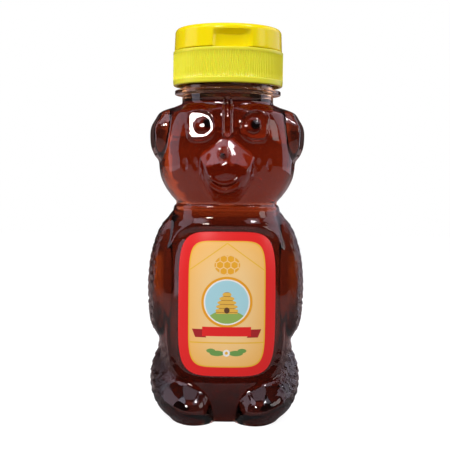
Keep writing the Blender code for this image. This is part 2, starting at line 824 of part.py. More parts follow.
def make_lid(material):
    """The lid: a hollow cup with a flat back, a thumb recess and a sealing pin."""
    round_steps = 4
    turns = [math.pi / 2 * i / round_steps for i in range(round_steps + 1)]
    edge_x = lid_radius - lid_draft - lid_edge_round
    edge_z = lid_top - lid_edge_round
    rounded = [
        (edge_x + lid_edge_round * math.sin(t), edge_z + lid_edge_round * math.cos(t))
        for t in turns
    ]
    outer = [(0.0, lid_top)] + rounded + [(lid_radius, lid_bottom), (0.0, lid_bottom)]
    lid = turned("flip_lid", outer, turn_steps, material)
    inside = lid_radius - lid_wall
    ceiling = lid_top - lid_wall
    hollow = [
        (0.0, ceiling),
        (inside - lid_draft - lid_wall / 2, ceiling),
        (inside - lid_draft, ceiling - lid_wall / 2),
        (inside, lid_bottom - lid_wall),
        (0.0, lid_bottom - lid_wall),
    ]
    cavity = turned("lid_cavity", hollow, turn_steps)
    combine(cavity, thumb_scoop("thumb_wall", lid_wall, small_turn_steps), "DIFFERENCE")
    reach = 2 * lid_radius
    wall_low = (-reach, axis_y + hinge_flat - lid_wall, lid_bottom - 2 * lid_wall)
    wall_high = (reach, axis_y + reach, lid_top + lid_wall)
    combine(cavity, box_cutter("flat_wall", wall_low, wall_high), "DIFFERENCE")
    pin_radius = orifice_radius - pin_clearance
    pin_bottom = deck_top + spout_height - pin_depth
    pin = [
        (pin_radius, ceiling - lid_wall),
        (pin_radius, pin_bottom + pin_wall / 2),
        (pin_radius - pin_wall / 2, pin_bottom),
        (pin_radius - pin_wall, pin_bottom),
        (pin_radius - pin_wall, ceiling + lid_wall / 2),
        (pin_radius + pin_wall, ceiling + lid_wall / 2),
    ]
    combine(lid, cavity, "DIFFERENCE")
    sealing_pin = turned("sealing_pin", pin, small_turn_steps)
    sealing_pin.rotation_euler.z = math.pi / (2 * small_turn_steps)
    combine(lid, sealing_pin, "UNION")
    combine(lid, thumb_scoop("thumb_recess", 0.0, small_turn_steps), "DIFFERENCE")
    flat_low = (-reach, axis_y + hinge_flat, lid_bottom - lid_wall)
    flat_high = (reach, axis_y + reach, lid_top + lid_wall)
    combine(lid, box_cutter("hinge_flat", flat_low, flat_high), "DIFFERENCE")
    hang_on_hinge(lid)
    return lid


def hang_on_hinge(lid):
    """Gives the lid a parent on the hinge's axis, so that turning the parent opens it."""
    pivot = bpy.data.objects.new("lid_pivot", None)
    pivot.location = (0.0, axis_y + hinge_axis_y, hinge_axis_z)
    part_collection.objects.link(pivot)
    lid.parent = pivot
    lid.matrix_parent_inverse = Matrix.Translation(-pivot.location)


def make_hinge(material):
    """The film that joins lid and cap, thinned to a crease on the hinge's axis."""
    half = film_thickness / 2
    thin = half / 2
    tall = film_half_height
    outline = [
        (-half, -tall),
        (half, -tall),
        (half, -half),
        (thin, 0.0),
        (half, half),
        (half, tall),
        (-half, tall),
    ]
    mesh = bpy.data.meshes.new("living_hinge")
    bm = bmesh.new()
    verts = [bm.verts.new((-film_half_width, y, z)) for y, z in outline]
    face = bm.faces.new(verts)
    swept = bmesh.ops.extrude_face_region(bm, geom=[face])
    moved = [v for v in swept["geom"] if isinstance(v, bmesh.types.BMVert)]
    bmesh.ops.translate(bm, verts=moved, vec=(2 * film_half_width, 0.0, 0.0))
    bmesh.ops.recalc_face_normals(bm, faces=bm.faces)
    bm.to_mesh(mesh)
    bm.free()
    film = finished("living_hinge", mesh, material, smooth=False)
    film.location = (0.0, axis_y + hinge_axis_y, hinge_axis_z)
    return film


def clear_scene():
    for obj in list(bpy.data.objects):
        bpy.data.objects.remove(obj, do_unlink=True)
    for mesh in list(bpy.data.meshes):
        bpy.data.meshes.remove(mesh)


def new_collection(name):
    collection = bpy.data.collections.new(name)
    bpy.context.scene.collection.children.link(collection)
    return collection


def main():
    make_bottle(plain_material("clear_pet", (0.93, 0.92, 0.86), 0.05, transmission=1.0))
    make_honey(plain_material("honey", (0.24, 0.06, 0.01), 0.1, transmission=0.6))
    make_label(plain_material("label_paper", (0.86, 0.12, 0.09), 0.35))
    make_seal(plain_material("seal_foil", (0.75, 0.74, 0.7), 0.4, metallic=0.6))
    cap_yellow = plain_material("cap_yellow", (0.78, 0.7, 0.03), 0.4)
    make_cap(cap_yellow)
    make_hinge(cap_yellow)
    make_lid(plain_material("lid_yellow", (0.92, 0.76, 0.01), 0.35))


def middle_of_box():
    """How far behind the middle of the part's box in plan the bottle's axis stands."""
    angle = column_angles(columns)
    reaches = [bear_reach(angle, np.full_like(angle, s)) for s in row_levels()]
    forward = np.array(reaches) * np.cos(angle)
    back = max(-forward.min(), skirt_radius)
    return (forward.max() - back) / 2


clear_scene()
part_collection = new_collection("honey_bear_bottle")
cutter_collection = new_collection("cutters")
axis_y = middle_of_box()
main()
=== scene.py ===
import json
import math

import bpy
import numpy as np
from mathutils import Matrix, Vector


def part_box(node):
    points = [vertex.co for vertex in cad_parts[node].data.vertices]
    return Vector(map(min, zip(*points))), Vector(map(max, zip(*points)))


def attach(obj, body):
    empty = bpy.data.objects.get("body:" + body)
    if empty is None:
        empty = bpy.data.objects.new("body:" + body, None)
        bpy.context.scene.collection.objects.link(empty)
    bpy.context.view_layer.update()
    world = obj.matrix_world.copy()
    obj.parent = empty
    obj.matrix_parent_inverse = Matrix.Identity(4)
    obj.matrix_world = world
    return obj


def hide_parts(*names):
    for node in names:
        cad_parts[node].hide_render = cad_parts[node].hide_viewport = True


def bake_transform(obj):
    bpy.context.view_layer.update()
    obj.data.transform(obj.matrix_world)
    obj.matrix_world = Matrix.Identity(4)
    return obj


bl_info = {
    "name": "Honey Bear Bottle",
    "version": (1, 0, 0),
    "blender": (4, 5, 0),
    "location": "View3D > Sidebar > Honey Bear",
    "description": "Dresses the solids of a bear-shaped bottle of honey with a flip-top cap",
    "category": "Object",
}

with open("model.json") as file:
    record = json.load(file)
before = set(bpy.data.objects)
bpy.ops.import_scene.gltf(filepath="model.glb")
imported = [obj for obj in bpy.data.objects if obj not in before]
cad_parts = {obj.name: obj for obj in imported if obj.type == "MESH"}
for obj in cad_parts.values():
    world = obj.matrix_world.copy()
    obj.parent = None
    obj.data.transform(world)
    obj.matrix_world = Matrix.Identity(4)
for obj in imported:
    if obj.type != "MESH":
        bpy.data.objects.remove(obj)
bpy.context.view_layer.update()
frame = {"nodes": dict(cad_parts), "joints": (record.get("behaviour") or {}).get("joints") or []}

MM = 0.001
FULL_TURN = 2 * math.pi
WHITE = (1.0, 1.0, 1.0)


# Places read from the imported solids

def centre_line():
    """How far behind the origin the bottle's upright axis stands."""
    low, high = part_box("inner_seal")
    return (low[1] + high[1]) / 2


def half_width(node):
    """Half of a solid's width from side to side."""
    low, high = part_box(node)
    return (high[0] - low[0]) / 2


AXIS_Y = centre_line()
SEAL_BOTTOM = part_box("inner_seal")[0][2]
SKIRT_BOTTOM, SPOUT_TOP = (corner[2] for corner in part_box("cap_base"))
LID_BOTTOM, LID_TOP = (corner[2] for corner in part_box("flip_lid"))
HONEY_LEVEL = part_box("honey")[1][2]
NECK_RADIUS = half_width("inner_seal")
SKIRT_RADIUS = half_width("cap_base")
LID_RADIUS = half_width("flip_lid")
HINGE_PLACE = next(joint for joint in frame["joints"] if joint["name"] == "lid_flip")["pos_m"]


# Sizes and colours that a user can change

def length(name, description, millimetres):
    """A length, given in millimetres and kept in metres."""
    return bpy.props.FloatProperty(
        name=name, description=description, default=millimetres * MM, unit="LENGTH",
        precision=5,
    )


def amount(name, description, default):
    """A plain number that is never negative."""
    return bpy.props.FloatProperty(name=name, description=description, default=default, min=0.0)


def colour(name, description, default):
    """A colour, as linear red, green and blue."""
    return bpy.props.FloatVectorProperty(
        name=name, description=description, default=default, subtype="COLOR", size=3,
        min=0.0, max=1.0,
    )


class BearBottleSettings(bpy.types.PropertyGroup):
    """Outline, wall and colours of the blown bottle."""

    bear_height: length("Bear height", "From the base to the root of the neck", 118.0)
    body_width: length("Body width", "Across the torso without the arms", 51.2)
    arm_span: length("Arm span", "Across both arms", 59.2)
    leg_span: length("Leg span", "Across both legs", 56.8)
    collar_width: length("Collar width", "Across the throat under the chin", 38.2)
    head_width: length("Head width", "Across the head without the ears", 51.6)
    ear_span: length("Ear span", "Across both ears", 59.0)
    belly_reach: length("Belly reach", "From the axis to the belly", 22.0)
    back_reach: length("Back reach", "From the axis to the back", 20.5)
    foot_reach: length("Foot reach", "From the axis to the toes", 29.0)
    leg_parting: length("Leg parting", "Width of the gap between the feet", 12.0)
    toe_round: length("Toe rounding", "Radius of the feet's inner sides", 9.0)
    face_reach: length("Face reach", "From the axis to the face", 20.5)
    nape_reach: length("Nape reach", "From the axis to the back of the head", 20.0)
    muzzle_rise: length("Muzzle rise", "How far the muzzle stands out", 6.2)
    wall: length("Wall", "Thickness of the blown wall", 0.5)
    panel_depth: length("Panel depth", "Depth of the recess for the label", 0.8)
    panel_half_width: length("Panel half-width", "Half of the recess's width", 20.6)
    crease_round: length("Crease rounding", "Rounding where legs and torso meet", 1.3)
    fur_depth: length("Fur depth", "Depth of the tufts on arms, legs and back", 0.6)
    plastic_colour: colour("Plastic colour", "Tint of the clear plastic", (0.95, 0.88, 0.78))
    # The neck's amber tint is painted shade. It stands in for the shaded cap seen through the
    # clear neck.
    neck_painted_shade: colour("Neck colour", "Tint of the neck's thick plastic", (0.80, 0.58, 0.28))
    # The film's dark tints are also painted shade for the band under the cap.
    film_colour: colour("Film colour", "Tint of the thick film in the neck", (0.16, 0.06, 0.004))
    thin_film_colour: colour(
        "Thin film colour", "Tint of the film where it is thin", (0.28, 0.12, 0.01)
    )


class HoneySettings(bpy.types.PropertyGroup):
    """The fill."""

    clearance: length("Clearance", "Between the fill and the wall", 0.05)
    absorption_colour: colour(
        "Absorption colour", "Colour that light keeps on its way through", (0.73, 0.44, 0.05)
    )
    # These tints are lit and shaded copies of one honey: painted light in the head, a painted glow
    # in the jaw and in each arm, and painted shade in the brow, the arms and legs, the body and
    # the ears.
    head_painted_light: colour("Head tint", "Tint of the lighter honey in the head", (0.94, 0.66, 0.85))
    brow_painted_shade: colour("Brow tint", "Tint of the honey at the top of the head", (0.26, 0.16, 0.20))
    jaw_painted_glow: colour("Jaw tint", "Tint of the lightest honey, in the jaw", (1.0, 0.92, 1.0))
    limb_painted_shade: colour("Arm tint", "Tint of the honey in the arms and legs", (0.12, 0.09, 0.14))
    arm_painted_glow: colour("Glow tint", "Tint of the amber patch in each arm", (1.0, 0.85, 0.50))
    body_painted_shade: colour("Body tint", "Tint of the darker honey in the body", (0.20, 0.12, 0.24))
    ear_painted_shade: colour("Ear tint", "Tint of the honey in the ears", (0.17, 0.13, 0.30))
    # Painted shade in the roots of the fur.
    fur_painted_shade: colour("Stroke tint", "Tint in the roots of the fur", (0.05, 0.03, 0.05))
    density: amount("Density", "How fast light is lost on its way, per metre", 150.0)


class CapSettings(bpy.types.PropertyGroup):
    """The ribbed cap, its flip lid and the film hinge."""

    rib_count: bpy.props.IntProperty(
        name="Ribs", description="Grip ribs round the skirt", default=150, min=8
    )
    rib_depth: length("Rib depth", "Depth of the grooves between the ribs", 0.3)
    thread_pitch: length("Thread pitch", "Rise of the thread in one turn", 25.4 / 6)
    thread_depth: length("Thread depth", "Height of the neck's thread", 1.1)
    thumb_half_width: length("Thumb recess half-width", "Half its width", 7.3)
    thumb_depth: length("Thumb recess depth", "How far it goes in", 3.2)
    skirt_colour: colour("Skirt colour", "Colour of the ribbed skirt", (0.90, 0.84, 0.04))
    lid_colour: colour("Lid colour", "Colour of the flip lid", (1.0, 0.78, 0.0))
    skirt_roughness: amount("Skirt roughness", "Roughness of the ribbed skirt", 0.26)
    lid_roughness: amount("Lid roughness", "Roughness of the flip lid", 0.18)


class LabelSettings(bpy.types.PropertyGroup):
    """The printed label on the belly."""

    half_width: length("Half-width", "Half of the label's width", 17.6)
    half_height: length("Half-height", "Half of the label's height", 26.2)
    shift: length("Shift", "How far the label sits to the side", 0.5)
    thickness: length("Thickness", "Thickness of the film", 0.12)
    border_colour: colour("Border colour", "Colour of the border", (0.85, 0.013, 0.012))
    field_colour: colour("Field colour", "Colour of the field's middle", (1.0, 0.66, 0.28))
    warm_colour: colour("Warm colour", "Colour of the field's rim", (1.0, 0.53, 0.12))
    line_colour: colour("Line colour", "Colour of the thin lines", (0.93, 0.52, 0.03))


class StageSettings(bpy.types.PropertyGroup):
    """Floor, lamps and camera."""

    camera_distance: length("Camera distance", "From the camera to the axis", 400)
    camera_height: length("Camera height", "Height of the camera", 86)
    camera_aside: length("Camera aside", "How far the camera stands to the side", -0.5)
    aim_height: length("Aim height", "Height that the camera looks at", 71.75)
    camera_roll: bpy.props.FloatProperty(
        name="Camera roll", description="Turn of the camera about its own axis",
        default=math.radians(0.65), subtype="ANGLE",
    )
    lens: amount("Lens", "Focal length of the camera in millimetres", 84.1)
    lamp_level: amount("Lamp level", "Factor on all lamps", 1.0)
    room_level: amount("Room level", "Brightness of the room's own light", 0.45)
    gloss_front: amount("Front gloss", "What gloss shows of the room before the bottle", 0.07)
    gloss_back: amount("Back gloss", "What gloss shows of the room behind it", 0.10)
    gloss_floor: amount("Floor gloss", "What gloss shows of the floor round it", 0.30)
    # Gloss start and end place a painted shadow: the floor's glow in gloss fades out round the
    # bottle.
    gloss_near: length("Gloss start", "Where the floor starts to show in gloss", 40)
    gloss_far: length("Gloss end", "Where the floor shows fully in gloss", 120)
    gloss_colour: colour("Gloss colour", "Tint of the room and floor in gloss", (1.0, 0.56, 0.54))


# Curves and blends

def smooth_step(low, high, value):
    """0 below low, 1 above high and the cubic 3t^2 - 2t^3 between."""
    t = np.clip((value - low) / (high - low), 0.0, 1.0)
    return t * t * (3.0 - 2.0 * t)


def between(rise, fall, value):
    """0, then 1 and then 0 again, with a smooth step over each (low, high) pair."""
    return smooth_step(*rise, value) * (1.0 - smooth_step(*fall, value))


def toward(start, end, share):
    """A straight blend from start, where share is 0, to end, where it is 1."""
    return start + (end - start) * share


def soft_max(first, second, blend):
    """The larger of two values, with the corner between them rounded over blend."""
    return (first + second + np.sqrt((first - second) ** 2 + blend * blend)) / 2


def soft_min(first, second, blend):
    """The smaller of two values, with the corner between them rounded over blend."""
    return -soft_max(-first, -second, blend)


def hill(value, half):
    """A smooth hill of height 1 at 0, e^(-(value / half)^2)."""
    return np.exp(-((value / half) ** 2))


def dome(off):
    """A round dome of height 1 and radius 1, (1 - off^2)^(1/2)."""
    return np.sqrt(np.clip(1.0 - off**2, 0.0, 1.0))


def through(stations, at):
    """A smooth curve through (place, value) stations, with no overshoot between them."""
    place, value = np.array(stations, float).T
    step = np.diff(place)
    slope = np.diff(value) / step
    tangent = np.zeros_like(value)
    same_way = slope[1:] * slope[:-1] > 0
    mean = 2 * slope[1:] * slope[:-1] / np.where(same_way, slope[1:] + slope[:-1], 1.0)
    tangent[1:-1] = np.where(same_way, mean, 0.0)
    tangent[0] = slope[0]
    tangent[-1] = slope[-1]
    at = np.clip(at, place[0], place[-1])
    i = np.clip(np.searchsorted(place, at, side="right") - 1, 0, len(step) - 1)
    t = (at - place[i]) / step[i]
    rise = (1 + 2 * t) * (1 - t) ** 2 * value[i] + t * t * (3 - 2 * t) * value[i + 1]
    lean = t * (1 - t) ** 2 * tangent[i] - t * t * (1 - t) * tangent[i + 1]
    return rise + lean * step[i]


def oval(angle, half_width, front, back, power):
    """Distance from the axis to a rounded oval, |x/a|^n + |y/b|^n = 1, along angle."""
    reach = np.where(np.cos(angle) > 0, front, back)
    across = np.abs(np.sin(angle) / half_width) ** power
    along = np.abs(np.cos(angle) / reach) ** power
    return (across + along) ** (-1.0 / power)


# The bear's outline. Each station is a level, which is a share of the bear's height, then
# shares of the named widths and reaches.

# Half-width, belly and back.
torso_shares = (
    (0.000, 0.60, 0.73, 0.80),
    (0.020, 0.72, 0.82, 0.90),
    (0.060, 0.84, 0.92, 0.98),
    (0.130, 0.93, 0.98, 1.02),
    (0.230, 0.985, 1.00, 1.02),
    (0.330, 1.00, 1.00, 1.00),
    (0.450, 0.98, 0.99, 0.98),
    (0.540, 0.93, 0.95, 0.94),
    (0.600, 0.86, 0.89, 0.88),
    (0.640, 0.80, 0.82, 0.83),
    (0.674, 0.745, 0.77, 0.80),
)
# Outer side as a share of the leg span, then front and back as shares of the foot reach.
leg_shares = (
    (0.000, 0.700, 0.92, 0.52),
    (0.008, 0.755, 0.96, 0.56),
    (0.022, 0.830, 1.00, 0.60),
    (0.045, 0.912, 1.00, 0.63),
    (0.070, 0.965, 0.95, 0.64),
    (0.095, 0.992, 0.84, 0.64),
    (0.120, 1.000, 0.71, 0.63),
    (0.150, 0.992, 0.58, 0.60),
    (0.175, 0.965, 0.48, 0.56),
    (0.195, 0.930, 0.41, 0.50),
    (0.215, 0.885, 0.34, 0.42),
    (0.240, 0.800, 0.26, 0.32),
    (0.300, 0.500, 0.10, 0.10),
)
# The arms' outline from the front, as shares of the arm span.
arm_shares = (
    (0.252, 0.845),
    (0.264, 0.890),
    (0.280, 0.940),
    (0.300, 0.970),
    (0.330, 0.988),
    (0.380, 1.000),
    (0.430, 1.000),
    (0.500, 0.976),
    (0.540, 0.942),
    (0.590, 0.875),
    (0.616, 0.814),
    (0.642, 0.725),
    (0.660, 0.672),
    (0.674, 0.645),
)
# Half-width, face and nape.
head_shares = (
    (0.674, 0.74, 0.80, 0.82),
    (0.700, 0.815, 0.875, 0.87),
    (0.730, 0.905, 0.95, 0.93),
    (0.765, 0.975, 0.99, 0.98),
    (0.810, 1.000, 1.00, 1.00),
    (0.860, 0.990, 1.00, 1.00),
    (0.920, 0.945, 0.98, 0.97),
    (0.960, 0.880, 0.93, 0.92),
    (0.985, 0.790, 0.88, 0.88),
    (1.000, 0.665, 0.84, 0.86),
)
# The ears' outline from the front, as shares of the ear span.
ear_shares = (
    (0.800, 0.870),
    (0.824, 0.915),
    (0.836, 0.949),
    (0.849, 0.973),
    (0.868, 0.994),
    (0.894, 1.000),
    (0.914, 0.997),
    (0.927, 0.980),
    (0.940, 0.949),
    (0.953, 0.908),
    (0.966, 0.880),
    (0.979, 0.850),
    (0.992, 0.800),
    (1.000, 0.700),
)
# The muzzle's half-width as a share of the head's, and its rise.
muzzle_shares = (
    (0.674, 0.20, 0.00),
    (0.690, 0.24, 0.22),
    (0.710, 0.29, 0.52),
    (0.746, 0.345, 0.86),
    (0.780, 0.375, 0.97),
    (0.812, 0.375, 1.00),
    (0.832, 0.345, 0.92),
)
STATION_BLUR = 0.012

COLLAR_LEVEL = 0.674
COLLAR_FADE = 0.06
CHIN_FADE = 0.03
PANEL_MIDDLE = 0.368
PANEL_HALF = 0.2365
LABEL_MIDDLE = 0.371
NECK_ROOT = NECK_RADIUS - 0.4 * MM

ARM_ANGLE = math.radians(98)
ARM_SWING = math.radians(12)
ARM_HALF_ANGLE = math.radians(31)
ARM_ENDS = (0.235, 0.72)
EAR_ANGLE = math.radians(93)
EAR_HALF_ANGLE = math.radians(27)
EAR_ENDS = (0.795, 1.0)
INNER_EAR_ANGLE = math.radians(78)
INNER_EAR_HALF_ANGLE = math.radians(10)
INNER_EAR_ENDS = (0.83, 0.96)
INNER_EAR_DEPTH = 0.9 * MM

# Levels of the face's features. Above MUZZLE_STEADY the muzzle keeps its width and rise.
SNOUT_PEAK = 0.893
MUZZLE_STEADY = 0.80
NOSE_LEVEL = 0.830
NOSTRIL_LEVEL = 0.822
SMILE_LEVEL = 0.728
CHEEK_LEVEL = 0.80
JAW_LEVEL = 0.70
BROW_LEVEL = 0.897
EYE_LEVEL = 0.919
# Places to the side and half the smile's width, as shares of the head's half-width.
NOSE_SIDE = -0.055
SMILE_SIDE = -0.04
SMILE_HALF = 0.25
EYE_SIDE = 0.358
# The eye's flat socket and its ball, as shares of the head's half-width.
SOCKET_SHIFT = 0.02
SOCKET_HALF_WIDTH = 0.185
SOCKET_HALF_HEIGHT = 0.195
EYEBALL_RADIUS = 0.112
EYEBALL_RISE = 0.030
# How far forward the socket lies, as a share of the face's reach, and how it faces.
EYE_REACH = 0.905
EYE_TURN = math.radians(12)
EYE_RISE = math.radians(15.5)

# Fur, the bead under the chin, the throat's rolls and the paws' folds. TUFT_ARC turns an
# angle into a length along the skin. BEAD_HALF, ROLL_LEVEL and ROLL_PITCH are levels.
TUFT_LENGTH = 3.1 * MM
TUFT_WIDTH = 2.3 * MM
TUFT_ARC = 25 * MM
CHIN_BEAD = 0.35 * MM
BEAD_HALF = 0.007
ROLL_RISE = 0.20 * MM
ROLL_LEVEL = 0.6205
ROLL_PITCH = 0.03
FOLD_DEPTH = 0.35 * MM
FOLD_PITCH = 2.6 * MM


def column_of(shares, index, level):
    """One column of a table of stations, evened out over a little height."""
    stations = [(row[0], row[index]) for row in shares]
    spread = STATION_BLUR * np.array([-1.0, -0.5, 0.0, 0.5, 1.0])
    return sum(through(stations, level + shift) for shift in spread) / len(spread)


def panel_edge(bear, across, level):
    """How far outside the panel a point lies. Its outline is |x/a|^5 + |z/b|^5 = 1."""
    up = (level - PANEL_MIDDLE) / PANEL_HALF
    out = np.abs(across / bear.panel_half_width) ** 5 + np.abs(up) ** 5
    return (out ** 0.2 - 1.0) * bear.panel_half_width


def lobe(side, middle, half, ends, level, edge=math.radians(5)):
    """1 inside a rounded patch of the skin and 0 outside, with a soft edge.

    Its half-width follows (1 - |t|^2.4)^(1/2.4), where t runs from -1 to 1 between its
    ends.
    """
    power = 2.4
    t = np.clip((2 * level - ends[0] - ends[1]) / (ends[1] - ends[0]), -1.0, 1.0)
    spread = half * (1.0 - np.abs(t) ** power) ** (1.0 / power)
    return 1.0 - smooth_step(spread - edge, spread + edge, np.abs(side - middle))


def arm_patch(side, level, grow=0.0):
    """1 on an arm and 0 off it. The arm swings forward towards its foot."""
    middle = ARM_ANGLE - ARM_SWING * (1.0 - smooth_step(*ARM_ENDS, level))
    return lobe(side, middle, ARM_HALF_ANGLE + grow, ARM_ENDS, level, math.radians(7))


def leg_reach(bear, side, level):
    """Distance from the axis to the legs, an oval that parts at the front into two feet.

    Beside the parting the reach grows as sqrt(t (2 - t)), a quarter circle.
    """
    outer = bear.leg_span / 2 * column_of(leg_shares, 1, level)
    front = bear.foot_reach * column_of(leg_shares, 2, level)
    back = bear.foot_reach * column_of(leg_shares, 3, level)
    reach = oval(side, outer, front, back, 2.6)
    into = (np.sin(side) * reach - bear.leg_parting / 2) / bear.toe_round
    into = np.clip(np.where(np.cos(side) > 0, into, 1.0), 0.0, 1.0)
    return reach * (0.5 + 0.5 * np.sqrt(into * (2.0 - into)))


def torso_reach(bear, angle, level):
    """Distance from the axis to the torso, arms and legs, between base and collar.

    The label's panel is a dip in the torso's oval with a low rim round it.
    """
    side = np.abs(angle)
    half = bear.body_width / 2 * column_of(torso_shares, 1, level)
    front = bear.belly_reach * column_of(torso_shares, 2, level)
    back = bear.back_reach * column_of(torso_shares, 3, level)
    collar = smooth_step(COLLAR_LEVEL - COLLAR_FADE, COLLAR_LEVEL, level)
    half = toward(half, bear.collar_width / 2, collar)
    torso = oval(angle, half, front, back, 2.35)
    depth = bear.panel_depth
    beyond = panel_edge(bear, np.abs(np.sin(angle)) * torso, level)
    dip = 1.0 - smooth_step(-1.5 * depth, 0.5 * depth, beyond)
    rim = hill(beyond - 0.9 * depth, 0.5 * depth)
    rim = rim * smooth_step(PANEL_MIDDLE - PANEL_HALF, PANEL_MIDDLE - 0.8 * PANEL_HALF, level)
    arm = arm_patch(side, level)
    arm_step = bear.arm_span / 2 * column_of(arm_shares, 1, level) - half
    torso = torso - depth * dip + 0.45 * depth * rim * (1.0 - arm) + arm_step * arm
    return soft_max(torso, leg_reach(bear, side, level), bear.crease_round)


def muzzle_relief(bear, side, up, level):
    """How far the muzzle stands out, a block with a roof, two flanks and soft corners.

    The roof falls by 0.654 for each unit to the side, and 0.837 measures square to it.
    """
    half = bear.head_width / 2
    low_part = np.minimum(level, MUZZLE_STEADY)
    peak = SNOUT_PEAK * bear.bear_height / half
    roof = (peak - 0.654 * side - up) * 0.837 / 0.36
    flank = (1.22 * column_of(muzzle_shares, 1, low_part) - side) / 0.20
    block = soft_min(soft_min(roof, flank, 0.08), 1.0, 0.45)
    rise = column_of(muzzle_shares, 2, low_part)
    return 1.08 * (soft_max(block, 0.0, 0.10) - 0.03) * rise * bear.muzzle_rise / half


def mouth_relief(across, up, tall, level):
    """The mouth's groove with a lip over and under it, and the philtrum above.

    The smile is the curve up = s + 0.12 t^2, where t is 1 at its corners.
    """
    along = np.abs(across - SMILE_SIDE) / SMILE_HALF
    off = up - SMILE_LEVEL * tall - 0.12 * along**2
    lips = 0.03 * hill(off + 0.07, 0.03) + 0.022 * hill(off - 0.055, 0.025)
    lips = (lips - 0.035 * hill(off, 0.022)) * (1.0 - smooth_step(0.8, 1.0, along))
    philtrum = 0.012 * hill(across, 0.025) * between((0.735, 0.75), (0.79, 0.80), level)
    return lips - philtrum


def eye_relief(side, up, tall):
    """The row of fine lashes over each eye and the small fold at its outer corner."""
    out = side - EYE_SIDE
    eye_up = up - EYE_LEVEL * tall
    lash_row = hill(eye_up - 0.215 - 0.02 * np.cos(9 * out), 0.035) * hill(out, 0.15) ** 2
    fold = 0.014 * hill(out - 0.215, 0.03) * hill(eye_up + 0.105, 0.025)
    return 0.010 * lash_row * np.cos(out * 190) + fold


def face_relief(bear, angle, level):
    """How far the muzzle, nose, eyes, brows and mouth stand out of the head, in metres.

    Places are in shares of the head's half-width: across is the sine of the angle, and
    up is the height. Each feature is a hill or groove about a point or a curve.
    """
    half = bear.head_width / 2
    tall = bear.bear_height / half
    across = np.sin(angle)
    side = np.abs(across)
    up = level * tall
    nose_off = np.hypot(across - NOSE_SIDE, up - NOSE_LEVEL * tall) / 0.068
    nose = 0.055 * dome(nose_off) - 0.012 * hill(nose_off - 1.2, 0.25)
    nostril = 0.02 * hill(np.abs(across - NOSE_SIDE) - 0.02, 0.015)
    nostril = nostril * hill(up - NOSTRIL_LEVEL * tall, 0.015)
    jaw_off = side - 0.26 - 0.55 * (up - JAW_LEVEL * tall)
    jaw = 0.04 * hill(jaw_off, 0.024) - 0.02 * hill(jaw_off - 0.07, 0.03)
    jaw = jaw * between((0.685, 0.705), (0.745, 0.78), level)
    loop = np.hypot(across, np.minimum(up - BROW_LEVEL * tall, 0.0))
    brow = 0.022 * (hill(loop - 0.07, 0.022) - hill(loop, 0.03))
    brow = brow * smooth_step(0.875, 0.885, level)
    cheek_up = up - CHEEK_LEVEL * tall
    cheek = 0.02 * hill(side - 0.60, 0.12) * hill(cheek_up, 0.14)
    dimples = hill(side - 0.52, 0.026) + hill(side - 0.66, 0.026)
    cheek = cheek - 0.028 * dimples * hill(cheek_up, 0.07)
    return half * (
        muzzle_relief(bear, side, up, level) + nose - nostril + jaw + brow + cheek
        + mouth_relief(across, up, tall, level) + eye_relief(side, up, tall)
    )


def eyed(bear, head, angle, level):
    """The head with a flat socket cut for each eye, and the eye's dome standing in it.

    A plane with the unit normal n through a point p lies at n.p / n.d along direction d.
    The socket is an oval towards the nose and |x/a|^5 + |z/b|^5 = 1 away from it.
    """
    half = bear.head_width / 2
    side = np.abs(angle)
    front = np.cos(angle) > 0
    point = np.array([EYE_SIDE * half, EYE_REACH * bear.face_reach, EYE_LEVEL * bear.bear_height])
    tilt = math.cos(EYE_RISE)
    normal = np.array([math.sin(EYE_TURN) * tilt, math.cos(EYE_TURN) * tilt, math.sin(EYE_RISE)])
    facing = normal[0] * np.sin(side) + normal[1] * np.cos(side)
    flat = (normal @ point - normal[2] * level * bear.bear_height) / np.maximum(facing, 0.2)
    out = flat * np.sin(side) / half - EYE_SIDE
    up = (level - EYE_LEVEL) * bear.bear_height / half
    aside = np.abs((out - SOCKET_SHIFT) / SOCKET_HALF_WIDTH)
    above = np.abs(up / SOCKET_HALF_HEIGHT)
    far = np.where(out > SOCKET_SHIFT, (aside**5 + above**5) ** 0.2, np.hypot(aside, above))
    socket = 1.0 - smooth_step(0.94, 1.06, far)
    ball = EYEBALL_RISE * half * dome(np.hypot(out, up) / EYEBALL_RADIUS)
    head = head + 0.012 * half * hill(far - 1.13, 0.07) * front
    return np.where(front, toward(head, flat + ball, socket), head)


def head_reach(bear, angle, level):
    """Distance from the axis to the head, ears and face, between collar and neck.

    The head's oval narrows to the collar below and turns into the round neck above.
    """
    side = np.abs(angle)
    half = bear.head_width / 2 * column_of(head_shares, 1, level)
    front = bear.face_reach * column_of(head_shares, 2, level)
    back = bear.nape_reach * column_of(head_shares, 3, level)
    collar = 1.0 - smooth_step(COLLAR_LEVEL, COLLAR_LEVEL + CHIN_FADE, level)
    half = toward(half, bear.collar_width / 2, collar)
    top = smooth_step(0.96, 1.0, level)
    half, front, back = (toward(reach, NECK_ROOT, top) for reach in (half, front, back))
    head = oval(angle, half, front, back, 2.3 - 0.3 * top)
    ear_step = bear.ear_span / 2 * column_of(ear_shares, 1, level) - half
    ear_step = ear_step * (1.0 - top) * smooth_step(0.800, 0.830, level)
    ear = lobe(side, EAR_ANGLE, EAR_HALF_ANGLE, EAR_ENDS, level)
    inner = lobe(side, INNER_EAR_ANGLE, INNER_EAR_HALF_ANGLE, INNER_EAR_ENDS, level,
                 math.radians(9))
    head = head + ear_step * ear - INNER_EAR_DEPTH * inner
    head = head + face_relief(bear, angle, level) * (np.cos(angle) > 0)
    return eyed(bear, head, angle, level)


